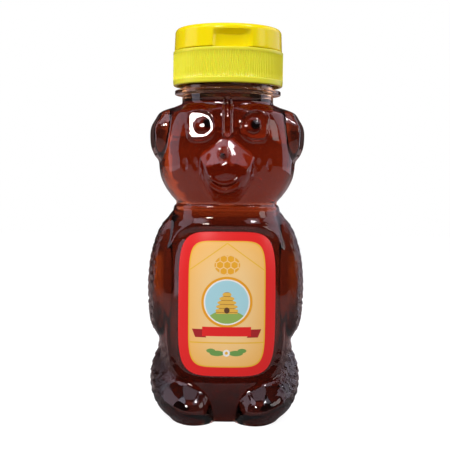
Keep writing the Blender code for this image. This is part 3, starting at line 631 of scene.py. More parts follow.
def fur_patch(bear, angle, level):
    """1 where the skin has fur and 0 where it is smooth: arms, legs, nape and flanks."""
    side = np.abs(angle)
    arm = arm_patch(side, level, grow=math.radians(-4))
    leg = smooth_step(0.75, 1.15, side) * between((0.03, 0.06), (0.21, 0.25), level)
    nape = 0.12 * smooth_step(1.95, 2.25, side) * between((0.70, 0.74), (0.93, 0.97), level)
    below = (1.0 - smooth_step(0.56, 0.62, level)) * (level > 0.03)
    across = np.sin(side) * bear.belly_reach
    outside = smooth_step(0.6 * MM, 2.2 * MM, panel_edge(bear, across, level))
    flank = 0.6 * smooth_step(1.7, 2.0, side) * below * outside
    return np.clip(np.maximum(np.maximum(arm, leg), np.maximum(nape, flank)), 0.0, 1.0)


def fur(angle, level, height):
    """Overlapping tufts, from -1 at their roots to 0 at their tips.

    Rows of tufts lie like shingles. In a row each tuft is a rounded ridge, and a row's
    tufts stand half a tuft beside those of the row above, shifted by a fixed wander.
    """
    along = np.abs(angle) * TUFT_ARC
    drop = level * height + 0.5 * np.sin(along * 700) * MM + 0.3 * along
    row = np.floor(drop / TUFT_LENGTH)
    wander = 0.5 * row + 0.35 * np.sin(row * 12.9898)
    down = drop / TUFT_LENGTH - row
    ridge = np.abs(np.sin(math.pi * (along / TUFT_WIDTH + wander + 0.25 * down)))
    return ridge**0.6 * (1.0 - down) ** 0.8 - 1.0


def skin_reach(bear, angle, level):
    """Distance from the bottle's axis to the outer skin, for angle and level.

    A bead e^-(z/w)^2 stands under the chin. The throat's rolls are a cosine wave that
    fades towards the sides, and the paws' folds are the cube of one.
    """
    side = np.abs(angle)
    height = level * bear.bear_height
    reach = np.where(level < COLLAR_LEVEL, torso_reach(bear, angle, level),
                     head_reach(bear, angle, level))
    reach = reach + CHIN_BEAD * hill(level - COLLAR_LEVEL + BEAD_HALF, BEAD_HALF)
    rolls = between((0.600, 0.615), (0.648, 0.66), level) * np.maximum(np.cos(angle), 0.0)
    reach = reach + ROLL_RISE * rolls * np.cos((level - ROLL_LEVEL) * FULL_TURN / ROLL_PITCH)
    tufts = fur_patch(bear, angle, level) * fur(angle, level, bear.bear_height)
    reach = reach + bear.fur_depth * tufts
    paw = arm_patch(side, level) * between((31 * MM, 33 * MM), (44 * MM, 46 * MM), height)
    paw = paw * (1.0 - smooth_step(1.55, 1.75, side))
    return reach - FOLD_DEPTH * paw * (0.5 + 0.5 * np.cos(FULL_TURN * height / FOLD_PITCH)) ** 3


# Meshes

def column_angles(count, crowding=0.45):
    """Directions round the axis, a - c sin a, closer together at the front than behind."""
    even = np.linspace(-math.pi, math.pi, count, endpoint=False) + math.pi / count
    return even - crowding * np.sin(even)


def even_angles(count):
    """Evenly spaced directions round the axis."""
    return np.linspace(-math.pi, math.pi, count, endpoint=False)


def ring_points(reach, angle, height):
    """Points at a reach from the bottle's axis: x = r sin a, y = -r cos a."""
    reach, angle, height = np.broadcast_arrays(reach, angle, height)
    return np.stack([reach * np.sin(angle), AXIS_Y - reach * np.cos(angle), height], axis=-1)


def turned_rings(profile, angle):
    """Rings of a turned shape: the same (radius, height) profile in every direction."""
    profile = np.array(profile)
    return ring_points(profile[:, :1], angle[None, :], profile[:, 1:])


def corner(point, before, after, steps=5):
    """A round corner at a (radius, height) point, from one offset from it to another.

    It is the quadratic curve (1 - t)^2 a + 2 t (1 - t) b + t^2 c.
    """
    b = np.array(point, float)
    a, c = b + before, b + after
    t = np.linspace(0, 1, steps)[:, None]
    return [tuple(p) for p in (1 - t) ** 2 * a + 2 * t * (1 - t) * b + t * t * c]


def line(start, end, steps):
    """Evenly spaced (radius, height) points between two, without the ends."""
    t = np.linspace(0, 1, steps + 2)[1:-1, None]
    return [tuple(p) for p in (1 - t) * np.array(start) + t * np.array(end)]


def loft(name, rings, loop=False):
    """A closed skin through a grid of points, rows of rings that run anticlockwise.

    With loop, the last ring joins the first. Otherwise a fan of faces closes each end.
    """
    rows, wide = rings.shape[:2]
    index = np.arange(rows * wide).reshape(rows, wide)
    low, high = (index, np.roll(index, -1, 0)) if loop else (index[:-1], index[1:])
    quads = [low, np.roll(low, -1, 1), np.roll(high, -1, 1), high]
    faces = np.stack(quads, axis=-1).reshape(-1, 4).tolist()
    points = rings.reshape(-1, 3)
    if not loop:
        points = np.concatenate([points, rings[[0, -1]].mean(axis=1)])
        first, last = rows * wide, rows * wide + 1
        after = np.roll(index, -1, 1)
        faces += np.stack([np.full(wide, first), after[0], index[0]], -1).tolist()
        faces += np.stack([np.full(wide, last), index[-1], after[-1]], -1).tolist()
    mesh = bpy.data.meshes.new(name)
    mesh.from_pydata(points.tolist(), [], faces)
    mesh.update()
    return mesh


def piece(name, rings, finishes, smooth_angle=50, loop=False):
    """Lofts rings into one named object of the scene, shaded smooth up to an angle."""
    mesh = loft(name, rings, loop)
    for finish in finishes:
        mesh.materials.append(finish)
    mesh.polygons.foreach_set("use_smooth", np.ones(len(mesh.polygons), bool))
    mesh.set_sharp_from_angle(angle=math.radians(smooth_angle))
    obj = bpy.data.objects.new(name, mesh)
    bpy.context.scene.collection.objects.link(obj)
    return obj


# The bottle

BOTTLE_COLUMNS = 280
BOTTLE_SMOOTH_ANGLE = 60
# Runs of levels, each with how many rings it has, close together at the base and the head.
BODY_RUNS = (
    (0.0, 0.03, 10),
    (0.03, 0.25, 46),
    (0.25, 0.66, 60),
    (0.66, 0.70, 12),
    (0.70, 0.96, 82),
    (0.96, 1.0, 10),
)
WALL_FROM, WALL_TO, WALL_ROWS = 0.98, 0.03, 44
PUSH_UP = 1.6 * MM
BASE_THICKNESS = 0.9 * MM
BORE_RADIUS = NECK_RADIUS - 1.8 * MM
BORE_ROWS = 4
RIM_LEVEL = SEAL_BOTTOM - 0.3 * MM
RING_TOP = RIM_LEVEL - 12.1 * MM
RING_BOTTOM = RING_TOP - 1.5 * MM
RING_RADIUS = 20.0 * MM
THREAD_START = RING_TOP + 2.2 * MM
THREAD_TURNS = 1.35
THREAD_HALF = 0.95 * MM


def thread(angle, height, start, turns, pitch, half=THREAD_HALF):
    """1 on a screw thread's crest and 0 between its turns.

    The crest's height is start + pitch (a / 2 pi + k). It fades in and out at its ends.
    """
    part = (angle / FULL_TURN) % 1.0
    whole = np.round((height - start) / pitch - part)
    turn = part + whole
    off = np.abs(height - start - pitch * turn)
    fade = between((0.0, 0.07), (turns - 0.07, turns), turn)
    return fade * (1.0 - smooth_step(0.35 * half, half, off))


def body_levels():
    """Levels of the skin's rings, from the base to the root of the neck."""
    runs = [np.linspace(low, high, count, endpoint=False) for low, high, count in BODY_RUNS]
    return np.concatenate(runs + [[1.0]])


def neck_profile():
    """(radius, height) points from the neck's root up to the rim and into the bore."""
    edge = 0.35 * MM
    up, down, out, inwards = (0, edge), (0, -edge), (edge, 0), (-edge, 0)
    points = line((NECK_ROOT, RING_BOTTOM - 2.8 * MM), (NECK_ROOT, RING_BOTTOM), 3)
    points += corner((NECK_ROOT, RING_BOTTOM), down, out)
    points += corner((RING_RADIUS, RING_BOTTOM), inwards, up)
    points += corner((RING_RADIUS, RING_TOP), down, inwards)
    points += corner((NECK_RADIUS, RING_TOP), out, up, steps=4)
    points += line((NECK_RADIUS, RING_TOP + edge), (NECK_RADIUS, RIM_LEVEL - edge), 34)
    points += corner((NECK_RADIUS, RIM_LEVEL), down, inwards, steps=4)
    points += corner((BORE_RADIUS, RIM_LEVEL), out, down, steps=4)
    return np.array(points)


def inside_reach(bear, angle, level, depth):
    """The reach of the surface that lies depth inside the skin, square to it.

    It is r - d sqrt(1 + (dr/dz)^2 + (dr / r da)^2), the last factor 1.6 at most.
    """
    small = 0.002
    reach = skin_reach(bear, angle, level)
    rise = skin_reach(bear, angle, level + small) - skin_reach(bear, angle, level - small)
    swing = skin_reach(bear, angle + small, level) - skin_reach(bear, angle - small, level)
    rise = rise / (2 * small * bear.bear_height)
    swing = swing / (2 * small * reach)
    return reach - depth * np.minimum(np.sqrt(1.0 + rise**2 + swing**2), 1.6)


def bottle_rings(bear, caps):
    """Rings from the push-up in the base, up the skin and the neck, and down inside.

    The base's two sides are rings at shares of the foot's least reach and of the push-up.
    Also gives how many rings there are down to the bore's foot.
    """
    angle = column_angles(BOTTLE_COLUMNS)
    level = body_levels()[:, None]
    skin = skin_reach(bear, angle[None, :], level)
    base = np.full(len(angle), skin[0].min())
    rings = [ring_points(base * out, angle, PUSH_UP * up)[None]
             for out, up in ((0.1, 1.0), (0.3, 1.0), (0.6, 0.7), (0.75, 0.2), (0.8, 0.0))]
    rings.append(ring_points(skin, angle[None, :], level * bear.bear_height))
    neck = neck_profile()
    reach, height = neck[:, :1], neck[:, 1:]
    wound = thread(angle[None, :], height, THREAD_START, THREAD_TURNS, caps.thread_pitch)
    outside = (reach > BORE_RADIUS + 1.0 * MM) & (height > RING_TOP + 0.4 * MM)
    wound = caps.thread_depth * wound * outside
    rings.append(ring_points(reach + wound, angle[None, :], height))
    bore_foot = (BORE_RADIUS, HONEY_LEVEL)
    bore = line((BORE_RADIUS, RIM_LEVEL), bore_foot, BORE_ROWS - 1) + [bore_foot]
    rings.append(turned_rings(bore, angle))
    dry_rows = sum(len(part) for part in rings)
    rings.append(turned_rings([(BORE_RADIUS, bear.bear_height)], angle))
    inner = np.linspace(WALL_FROM, WALL_TO, WALL_ROWS)[:, None]
    wall = inside_reach(bear, angle[None, :], inner, bear.wall)
    rings.append(ring_points(wall, angle[None, :], inner * bear.bear_height))
    rings += [ring_points(base * out, angle, BASE_THICKNESS + PUSH_UP * up)[None]
              for out, up in ((0.8, 0.0), (0.6, 0.7), (0.3, 1.0))]
    return np.concatenate(rings), dry_rows


def mark_fur(bear, mesh):
    """Stores, at every point of a mesh, how much it lies in the bear's fur."""
    points = np.empty(len(mesh.vertices) * 3)
    mesh.vertices.foreach_get("co", points)
    x, y, z = points.reshape(-1, 3).T
    level = z / bear.bear_height
    patch = fur_patch(bear, np.arctan2(x, AXIS_Y - y), np.clip(level, 0, 1))
    share = np.where(level < 1.0, patch, 0.0).astype(np.float32)
    mesh.attributes.new("fur", "FLOAT", "POINT").data.foreach_set("value", share)


def mark_wetted(mesh, rows, dry_rows):
    """Gives the bore's faces the third finish, and the rest of the inside the second."""
    finish = np.zeros(len(mesh.polygons), np.int32)
    finish[(dry_rows - BORE_ROWS - 1) * BOTTLE_COLUMNS:dry_rows * BOTTLE_COLUMNS] = 2
    finish[dry_rows * BOTTLE_COLUMNS:(rows - 1) * BOTTLE_COLUMNS] = 1
    finish[-BOTTLE_COLUMNS:] = 1
    mesh.polygons.foreach_set("material_index", finish)


class HONEYBEAR_OT_bottle(bpy.types.Operator):
    """Builds the blown bear with its screw neck"""

    bl_idname = "honey_bear.bottle"
    bl_label = "Build Bottle"

    def execute(self, context):
        bear = context.scene.honey_bear_bottle
        rings, dry_rows = bottle_rings(bear, context.scene.honey_bear_cap)
        finishes = [pet_material(bear), wetted_material(bear), film_material(bear)]
        obj = piece("bear_bottle", rings, finishes, BOTTLE_SMOOTH_ANGLE)
        mark_wetted(obj.data, len(rings), dry_rows)
        mark_fur(bear, obj.data)
        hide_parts("bottle")
        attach(obj, "bottle")
        return {"FINISHED"}


# The honey

HONEY_COLUMNS = 200
HONEY_ROWS = 150
HONEY_FOOT = 2.9 * MM
HONEY_CLIMB = 0.5 * MM
# How the honey's top dips from the wall, inwards and down as shares of its climb.
HONEY_DIP = ((0.0, 0.0), (0.4, 0.3), (1.0, 0.8), (3.0, 1.0))


def honey_rings(bear, fill):
    """Rings of the fill from its foot to its level in the neck, inside the wall."""
    angle = column_angles(HONEY_COLUMNS)
    level = np.linspace(0.03, 0.975, HONEY_ROWS)[:, None]
    reach = inside_reach(bear, angle[None, :], level, bear.wall + fill.clearance)
    foot = reach[0] * 0.7
    rings = [ring_points(foot * 0.5, angle, HONEY_FOOT)[None],
             ring_points(foot, angle, HONEY_FOOT)[None],
             ring_points(reach, angle[None, :], level * bear.bear_height)]
    neck = BORE_RADIUS - fill.clearance
    top = [(neck - HONEY_CLIMB * inwards, HONEY_LEVEL - HONEY_CLIMB * down)
           for inwards, down in HONEY_DIP]
    top = [(neck, bear.bear_height)] + top + [(neck / 2, HONEY_LEVEL - HONEY_CLIMB)]
    rings.append(turned_rings(top, angle))
    return np.concatenate(rings)


class HONEYBEAR_OT_honey(bpy.types.Operator):
    """Builds the honey that fills the bottle"""

    bl_idname = "honey_bear.honey"
    bl_label = "Build Honey"

    def execute(self, context):
        bear = context.scene.honey_bear_bottle
        fill = context.scene.honey_bear_honey
        finishes = [honey_material(fill)]
        obj = piece("honey_fill", honey_rings(bear, fill), finishes, BOTTLE_SMOOTH_ANGLE)
        mark_fur(bear, obj.data)
        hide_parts("honey")
        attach(obj, "bottle")
        return {"FINISHED"}


# The label

LABEL_ROWS = 150
LABEL_COLUMNS = 110
LABEL_LIFT = 0.06 * MM


def label_rings(bear, label):
    """Rings round the label, each across its face and back behind it, from foot to top.

    Its outline is |x/a|^5 + |z/b|^5 = 1, and it lies on the panel at every point. Also
    gives each point's place on the flat sheet, in millimetres.
    """
    quarter = math.pi / 2
    up = 0.9995 * np.sin(np.linspace(-quarter, quarter, LABEL_ROWS))[:, None]
    over = np.linspace(-1.0, 1.0, LABEL_COLUMNS)[None, :]
    across = label.half_width * (1.0 - np.abs(up) ** 5) ** 0.2 * over
    rise = label.half_height * up + 0 * over
    height = LABEL_MIDDLE * bear.bear_height + rise
    level = height / bear.bear_height
    angle = np.arcsin((label.shift + across) / bear.belly_reach)
    for _ in range(8):
        angle = np.arcsin((label.shift + across) / skin_reach(bear, angle, level))
    reach = skin_reach(bear, angle, level) + LABEL_LIFT
    face = ring_points(reach + label.thickness, angle, height)
    behind = ring_points(reach, angle, height)
    flat = np.stack([across, rise], axis=-1) / MM
    return (np.concatenate([face, behind[:, ::-1]], axis=1),
            np.concatenate([flat, flat[:, ::-1]], axis=1))


def lay_out(mesh, flat):
    """Stores each point's place on the flat sheet as a UV map in millimetres."""
    flat = np.concatenate([flat.reshape(-1, 2), flat[[0, -1]].mean(axis=1)])
    corners = np.empty(len(mesh.loops), np.int32)
    mesh.loops.foreach_get("vertex_index", corners)
    layer = mesh.uv_layers.new(name="millimetres")
    layer.uv.foreach_set("vector", flat[corners].ravel())


class HONEYBEAR_OT_label(bpy.types.Operator):
    """Builds the printed label on the belly"""

    bl_idname = "honey_bear.label"
    bl_label = "Build Label"

    def execute(self, context):
        label = context.scene.honey_bear_label
        rings, flat = label_rings(context.scene.honey_bear_bottle, label)
        obj = piece("belly_label", rings, [label_material(label)])
        lay_out(obj.data, flat)
        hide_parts("front_label")
        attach(obj, "bottle")
        return {"FINISHED"}


# The cap, its lid and the film hinge

COLUMNS_A_RIB = 5
LID_COLUMNS = 300
PIN_COLUMNS = 96
EDGE_ROUND = 0.35 * MM
DECK_TOP = LID_BOTTOM - 0.3 * MM
DECK_BOTTOM = DECK_TOP - 1.2 * MM
FOOT_BAND = 1.9 * MM
FOOT_ROUND = 0.7 * MM
FOOT_DRAFT = 0.1 * MM
TOP_BAND = 1.1 * MM
CAP_BORE = 19.15 * MM
DECK_BORE = 18.0 * MM
SPOUT_FOOT = 4.6 * MM
SPOUT_TIP = 3.8 * MM
SPOUT_HOLE = 3.0 * MM
CAP_THREAD_DEPTH = 0.85 * MM
CAP_THREAD_HALF = 0.8 * MM
FILM_HALF = 0.225 * MM
FILM_HALF_WIDTH = 6.2 * MM
FILM_HALF_HEIGHT = 1.4 * MM
HINGE_FLAT = HINGE_PLACE[1] - AXIS_Y - FILM_HALF - 0.3 * MM
POCKET_HALF = 6.5 * MM
POCKET_BOTTOM = HINGE_PLACE[2] - 2.0 * MM
LID_WALL = 1.3 * MM
LID_ROUND = 1.9 * MM
LID_DRAFT = 0.25 * MM
THUMB_TOP = LID_TOP - 2.2 * MM
THUMB_ROOF = 1.7 * MM
THUMB_TURN = math.radians(4)
PIN_RADIUS = 2.85 * MM
PIN_WALL = 0.8 * MM
PIN_REACH = 2.6 * MM


def flat_back(reach, angle, from_axis, blend=0.15 * MM):
    """A reach cut off by an upright plane behind the axis, with a rounded corner."""
    limit = from_axis / np.maximum(-np.cos(angle), 1e-3)
    return np.where(np.cos(angle) < -0.2, soft_min(reach, limit, blend), reach)


def cap_profile():
    """(radius, height) points up the skirt, over deck and spout, and down inside.

    Also gives which of them make the ribbed band and which the thread.
    """
    skirt, foot, edge = SKIRT_RADIUS, SKIRT_BOTTOM, EDGE_ROUND
    low, high = foot + FOOT_BAND, DECK_TOP - TOP_BAND
    points = [(CAP_BORE, foot + 0.3 * MM), (CAP_BORE + 0.2 * MM, foot)]
    points += corner((skirt - FOOT_DRAFT, foot), (-FOOT_ROUND, 0), (0, FOOT_ROUND), steps=7)
    points += [(skirt - 0.02 * MM, low - 0.5 * MM), (skirt, low - 0.25 * MM), (skirt, low)]
    ribs_from = len(points)
    points += [(skirt, low + 0.12 * MM), (skirt, low + 0.3 * MM)]
    points += line((skirt, low + 0.3 * MM), (skirt, high - 0.3 * MM), 4)
    points += [(skirt, high - 0.3 * MM), (skirt, high - 0.12 * MM)]
    ribs = slice(ribs_from, len(points))
    points += [(skirt, high), (skirt, DECK_TOP - 1.4 * edge)]
    points += corner((skirt, DECK_TOP), (0, -edge), (-edge, 0))
    points += line((skirt, DECK_TOP), (SPOUT_FOOT, DECK_TOP), 4)
    points += corner((SPOUT_FOOT, DECK_TOP), (0.5 * MM, 0), (-0.1 * MM, 0.5 * MM))
    points += line((SPOUT_FOOT - 0.1 * MM, DECK_TOP + 0.5 * MM), (SPOUT_TIP, SPOUT_TOP - edge), 2)
    lean = 0.02 * MM
    points += corner((SPOUT_TIP - lean, SPOUT_TOP), (lean, -edge), (lean - edge, 0))
    points += [(SPOUT_HOLE, SPOUT_TOP), (SPOUT_HOLE, SPOUT_TOP - 0.4 * MM)]
    points += [(SPOUT_HOLE, DECK_BOTTOM), (SPOUT_HOLE + 0.2 * MM, DECK_BOTTOM)]
    shoulder = POCKET_BOTTOM - 0.8 * MM
    points += [(DECK_BORE, DECK_BOTTOM), (DECK_BORE, shoulder)]
    points += [(DECK_BORE + 0.2 * MM, shoulder), (CAP_BORE - 0.2 * MM, shoulder)]
    wound = slice(len(points), None)
    points += line((CAP_BORE, shoulder), (CAP_BORE, foot + 0.3 * MM), 26)
    return np.array(points), ribs, wound


def cap_rings(caps):
    """Rings of the cap, with grip ribs, an inner thread and a pocket for the hinge.

    In the ribbed band the radius is R - d (1/2 - 1/2 cos N a)^(1/2), rounded ribs with
    narrow grooves.
    """
    angle = even_angles(COLUMNS_A_RIB * caps.rib_count)
    profile, ribs, wound = cap_profile()
    height = profile[:, 1:]
    reach = np.repeat(profile[:, :1], len(angle), axis=1)
    groove = (0.5 - 0.5 * np.cos(caps.rib_count * angle)) ** 0.5
    deep = np.ones(len(profile[ribs]))
    deep[[0, -1]] = 0.35
    reach[ribs] -= caps.rib_depth * deep[:, None] * groove
    start = THREAD_START + caps.thread_pitch / 2
    crest = thread(angle[None, :], height[wound], start, THREAD_TURNS - 0.2,
                   caps.thread_pitch, CAP_THREAD_HALF)
    reach[wound] -= CAP_THREAD_DEPTH * crest
    cut = flat_back(reach, angle[None, :], HINGE_FLAT, 0.02 * MM)
    pocket = (np.abs(reach * np.sin(angle)) < POCKET_HALF) & (height > POCKET_BOTTOM)
    reach = np.where(pocket & (reach > DECK_BORE + 0.5 * MM), cut, reach)
    return ring_points(reach, angle[None, :], height)


def recessed(reach, angle, depth_share, caps, inset=0.0):
    """A reach pushed in by the thumb recess, a scoop in the front of the lid.

    In plan the scoop's floor lies F + (E - F) (x / w)^4 before the axis, where E is where
    the lid's own side lies at x = w. The loop finds where each direction meets it.
    """
    wide = caps.thumb_half_width
    floor = LID_RADIUS - caps.thumb_depth
    end = math.sqrt(LID_RADIUS**2 - wide**2)
    ahead = np.maximum(np.cos(angle), 0.5)
    near = floor / ahead
    for _ in range(8):
        across = np.clip(near * np.sin(angle) / wide, -1.5, 1.5)
        near = toward(floor, end, across**4) / ahead
    near = np.where(np.cos(angle) > 0.5, near - inset, reach + 3 * MM)
    return toward(reach, soft_min(reach, near, 0.15 * MM), depth_share)


def lid_profile():
    """(radius, height) points of the lid, from its ceiling round the rim to its top.

    Also gives how many of them lie inside.
    """
    top = LID_RADIUS - LID_DRAFT
    ceiling = LID_TOP - LID_WALL
    inner_top, inner_foot = top - LID_WALL, LID_RADIUS - LID_WALL
    points = [(radius * MM, ceiling) for radius in (0.3, 4, 9, 14)]
    points += corner((inner_top, ceiling), (-1.2 * MM, 0), (0, -1.0 * MM))
    points += line((inner_top, ceiling - 1.0 * MM), (inner_foot, LID_BOTTOM), 10)
    inside = len(points)
    chamfer = 0.15 * MM
    points += [(inner_foot, LID_BOTTOM + chamfer), (inner_foot + chamfer, LID_BOTTOM)]
    points += [(LID_RADIUS - LID_DRAFT, LID_BOTTOM), (LID_RADIUS, LID_BOTTOM + LID_DRAFT)]
    points += line((LID_RADIUS, LID_BOTTOM + LID_DRAFT), (top, LID_TOP - LID_ROUND), 26)
    points += [(top - LID_ROUND * (1 - math.cos(turn)), LID_TOP - LID_ROUND * (1 - math.sin(turn)))
               for turn in np.linspace(0, math.pi / 2, 12)]
    points += [(radius * MM, LID_TOP) for radius in (16, 12, 8, 4, 1)]
    return np.array(points), inside


def lid_rings(caps):
    """Rings of the lid, with its flat back and its thumb recess under a sloping roof."""
    angle = column_angles(LID_COLUMNS, 0.5)[None, :]
    profile, inside = lid_profile()
    height = profile[:, 1:]
    reach = np.repeat(profile[:, :1], LID_COLUMNS, axis=1)
    share = np.clip((THUMB_TOP - height) / THUMB_ROOF, 0.0, 1.0)
    turned = angle - THUMB_TURN
    inner = recessed(reach[:inside], turned, 1.0, caps, inset=LID_WALL)
    outer = recessed(reach[inside:], turned, share[inside:], caps)
    inner = flat_back(inner, angle, HINGE_FLAT - LID_WALL)
    outer = flat_back(outer, angle, HINGE_FLAT)
    return ring_points(np.concatenate([inner, outer]), angle, height)


def pin_rings():
    """The sealing pin under the lid, a short turned tube that enters the ceiling."""
    out, wall = PIN_RADIUS, PIN_WALL
    top = LID_TOP - LID_WALL + 0.3 * MM
    foot = SPOUT_TOP - PIN_REACH
    profile = corner((out, foot), (0.05 * MM - wall, 0), (0, 0.6 * MM))
    profile += line((out, foot + 0.6 * MM), (out, top), 3) + [(out, top), (out - wall, top)]
    profile += line((out - wall, top), (out - wall, foot + 0.1 * MM), 2)
    return turned_rings(profile, even_angles(PIN_COLUMNS))


def hinge_rings():
    """The film as rings round a thin strip, from its foot to its top.

    Its thickness is t (1 - 0.5 e^-(z/w)^2), thinnest on the hinge's axis.
    """
    up = np.linspace(-FILM_HALF_HEIGHT, FILM_HALF_HEIGHT, 41)[:, None]
    half = FILM_HALF * (1.0 - 0.5 * hill(up, 0.25 * MM))
    over = np.linspace(-1, 1, 14)[None, :] * FILM_HALF_WIDTH
    x = np.concatenate([over, over[:, ::-1]], axis=1) + 0 * up
    y = np.concatenate([-half + 0 * over, half + 0 * over], axis=1)
    z = up + 0 * x
    return np.stack([x, HINGE_PLACE[1] + y, HINGE_PLACE[2] + z], axis=-1)


class HONEYBEAR_OT_cap(bpy.types.Operator):
    """Builds the ribbed cap with its spout, the flip lid and the film hinge"""

    bl_idname = "honey_bear.cap"
    bl_label = "Build Cap"

    def execute(self, context):
        caps = context.scene.honey_bear_cap
        satin = plastic_material("cap_yellow", caps.skirt_colour, caps.skirt_roughness)
        glossy = plastic_material("lid_yellow", caps.lid_colour, caps.lid_roughness)
        skirt = piece("ribbed_cap", cap_rings(caps), [satin], loop=True)
        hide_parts("cap_base")
        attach(skirt, "cap")
        lid = piece("thumb_lid", lid_rings(caps), [glossy])
        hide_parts("flip_lid")
        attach(lid, "lid")
        pin = piece("sealing_pin", pin_rings(), [glossy], loop=True)
        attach(pin, "lid")
        film = piece("film_hinge", hinge_rings(), [satin])
        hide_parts("living_hinge")
        x, y, z = HINGE_PLACE
        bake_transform(film)
        return {"FINISHED"}


class HONEYBEAR_OT_seal(bpy.types.Operator):
    """Gives the disc on the mouth its foil face"""

    bl_idname = "honey_bear.seal"
    bl_label = "Finish Seal"

    def execute(self, context):
        seal = frame["nodes"]["inner_seal"]
        seal.data.materials.clear()
        seal.data.materials.append(foil_material())
        return {"FINISHED"}


# Wiring of nodes

class Nodes:
    """A node tree to be wired: a method adds nodes and gives what they put out."""

    def __init__(self, tree):
        self.tree = tree

    def feed(self, socket, value):
        """Joins a socket to another one, or gives it a number, a place or a colour."""
        if isinstance(value, bpy.types.NodeSocket):
            self.tree.links.new(value, socket)
        elif hasattr(value, "__len__") and len(value) < len(socket.default_value):
            socket.default_value = (*value, 1.0)
        else:
            socket.default_value = value

    def wire(self, node, **values):
        """Feeds a node's inputs by name, an underscore standing for a space."""
        for key, value in values.items():
            self.feed(node.inputs[key.replace("_", " ")], value)
        return node

    def add(self, kind, **values):
        """A new shader node with its inputs fed."""
        return self.wire(self.tree.nodes.new("ShaderNode" + kind), **values)

    def group(self, name, **values):
        """What a shared group of nodes puts out, made when it is first asked for."""
        node = self.add("Group")
        node.node_tree = bpy.data.node_groups.get(name) or SHARED_GROUPS[name]()
        return self.wire(node, **values).outputs

    def finish(self, **values):
        """Feeds the material's Principled shader."""
        self.wire(self.tree.nodes["Principled BSDF"], **values)

    def place(self):
        """The place on the piece, in object coordinates."""
        return self.add("TexCoord").outputs["Object"]

    def parts(self, vector):
        """A place's three parts: across, back and up."""
        return tuple(self.add("SeparateXYZ", Vector=vector).outputs)

    def attribute(self, name):
        """A number stored on the mesh."""
        node = self.add("Attribute")
        node.attribute_name = name
        return node.outputs["Fac"]

    def noise(self, scale, detail):
        """Noise about 0.5, in object coordinates."""
        node = self.add("TexNoise", Vector=self.place(), Scale=scale, Detail=detail)
        return node.outputs["Fac"]

    def bump(self, height, strength, distance):
        """The normal of a surface with a height on it."""
        node = self.add("Bump", Height=height, Strength=strength, Distance=distance)
        return node.outputs["Normal"]

    def maths(self, operation, *values, clamp=False):
        """What one Math node makes of numbers and sockets."""
        node = self.add("Math")
        node.operation = operation
        node.use_clamp = clamp
        for socket, value in zip(node.inputs, values):
            self.feed(socket, value)
        return node.outputs[0]

    def product(self, first, *others):
        """All values multiplied."""
        for other in others:
            first = self.maths("MULTIPLY", first, other)
        return first

    def scaled(self, value, factor, shift):
        """value x factor + shift."""
        return self.maths("MULTIPLY_ADD", value, factor, shift)

    def ramp(self, value, start, end):
        """0 up to start, 1 from end on, and straight between."""
        span = end - start
        return self.maths("MULTIPLY_ADD", value, 1 / span, -start / span, clamp=True)

    def distance(self, vector, point):
        """How far a place lies from a point."""
        node = self.add("VectorMath")
        node.operation = "DISTANCE"
        for socket, value in zip(node.inputs, (vector, point)):
            self.feed(socket, value)
        return node.outputs["Value"]

    def mixed(self, share, first, second):
        """The colour first where share is 0 and second where it is 1."""
        node = self.add("Mix")
        node.data_type = "RGBA"
        sockets = {socket.identifier: socket for socket in node.inputs}
        self.feed(sockets["Factor_Float"], share)
        self.feed(sockets["A_Color"], first)
        self.feed(sockets["B_Color"], second)
        return next(s for s in node.outputs if s.identifier == "Result_Color")

    def rays(self):
        """1 on rays from the camera or through glass, and 1 on rays off gloss."""
        path = self.add("LightPath").outputs
        seen = self.maths("MAXIMUM", path["Is Camera Ray"], path["Is Transmission Ray"])
        return seen, path["Is Glossy Ray"]


def new_material(name, wiring=Nodes):
    """A material with an unfed Principled shader, and its nodes to wire."""
    material = bpy.data.materials.new(name)
    material.use_nodes = True
    return material, wiring(material.node_tree)


def new_group(name, inputs, outputs):
    """A group that takes a place and the named numbers and puts out named numbers."""
    group = bpy.data.node_groups.new(name, "ShaderNodeTree")
    group.interface.new_socket("Place", in_out="INPUT", socket_type="NodeSocketVector")
    for key in inputs:
        group.interface.new_socket(key, in_out="INPUT", socket_type="NodeSocketFloat")
    for key in outputs:
        group.interface.new_socket(key, in_out="OUTPUT", socket_type="NodeSocketFloat")
    given = group.nodes.new("NodeGroupInput").outputs
    result = group.nodes.new("NodeGroupOutput").inputs
    return group, Nodes(group), given, result


def mould_grain():
    """A group that puts out a fine grain and a slow tint, two noises of one place."""
    group, nodes, given, result = new_group("mould_grain", ("Fineness",), ("Height", "Tint"))
    place = given["Place"]
    fine = nodes.add("TexNoise", Vector=place, Scale=given["Fineness"], Detail=3.0)
    slow = nodes.add("TexNoise", Vector=place, Scale=60.0)
    nodes.feed(result["Height"], fine.outputs["Fac"])
    nodes.feed(result["Tint"], slow.outputs["Fac"])
    return group


def fur_strokes():
    """A group that puts out fine upright strokes, a noise drawn out along the height."""
    group, nodes, given, result = new_group("fur_strokes", ("Fineness", "Squeeze"), ("Stroke",))
    squeeze = nodes.add("CombineXYZ", X=1.0, Y=1.0, Z=given["Squeeze"])
    drawn = nodes.add("Mapping", Vector=given["Place"], Scale=squeeze.outputs["Vector"])
    noise = nodes.add("TexNoise", Vector=drawn.outputs["Vector"], Scale=given["Fineness"],
                      Detail=2.0)
    nodes.feed(result["Stroke"], noise.outputs["Fac"])
    return group


SHARED_GROUPS = {"mould_grain": mould_grain, "fur_strokes": fur_strokes}


# Finishes

PET_IOR = 1.575
NECK_FADE = 3.0 * MM
# Spots of painted shade in the honey at the pupils and the nostril: across, up and radius
# in millimetres.
PAINTED_SHADE_SPOTS = ((-7.2, 109.2, 1.9), (10.0, 108.8, 1.8), (-1.5, 97.6, 0.8))
GLOW_HEIGHT = 52.5 * MM


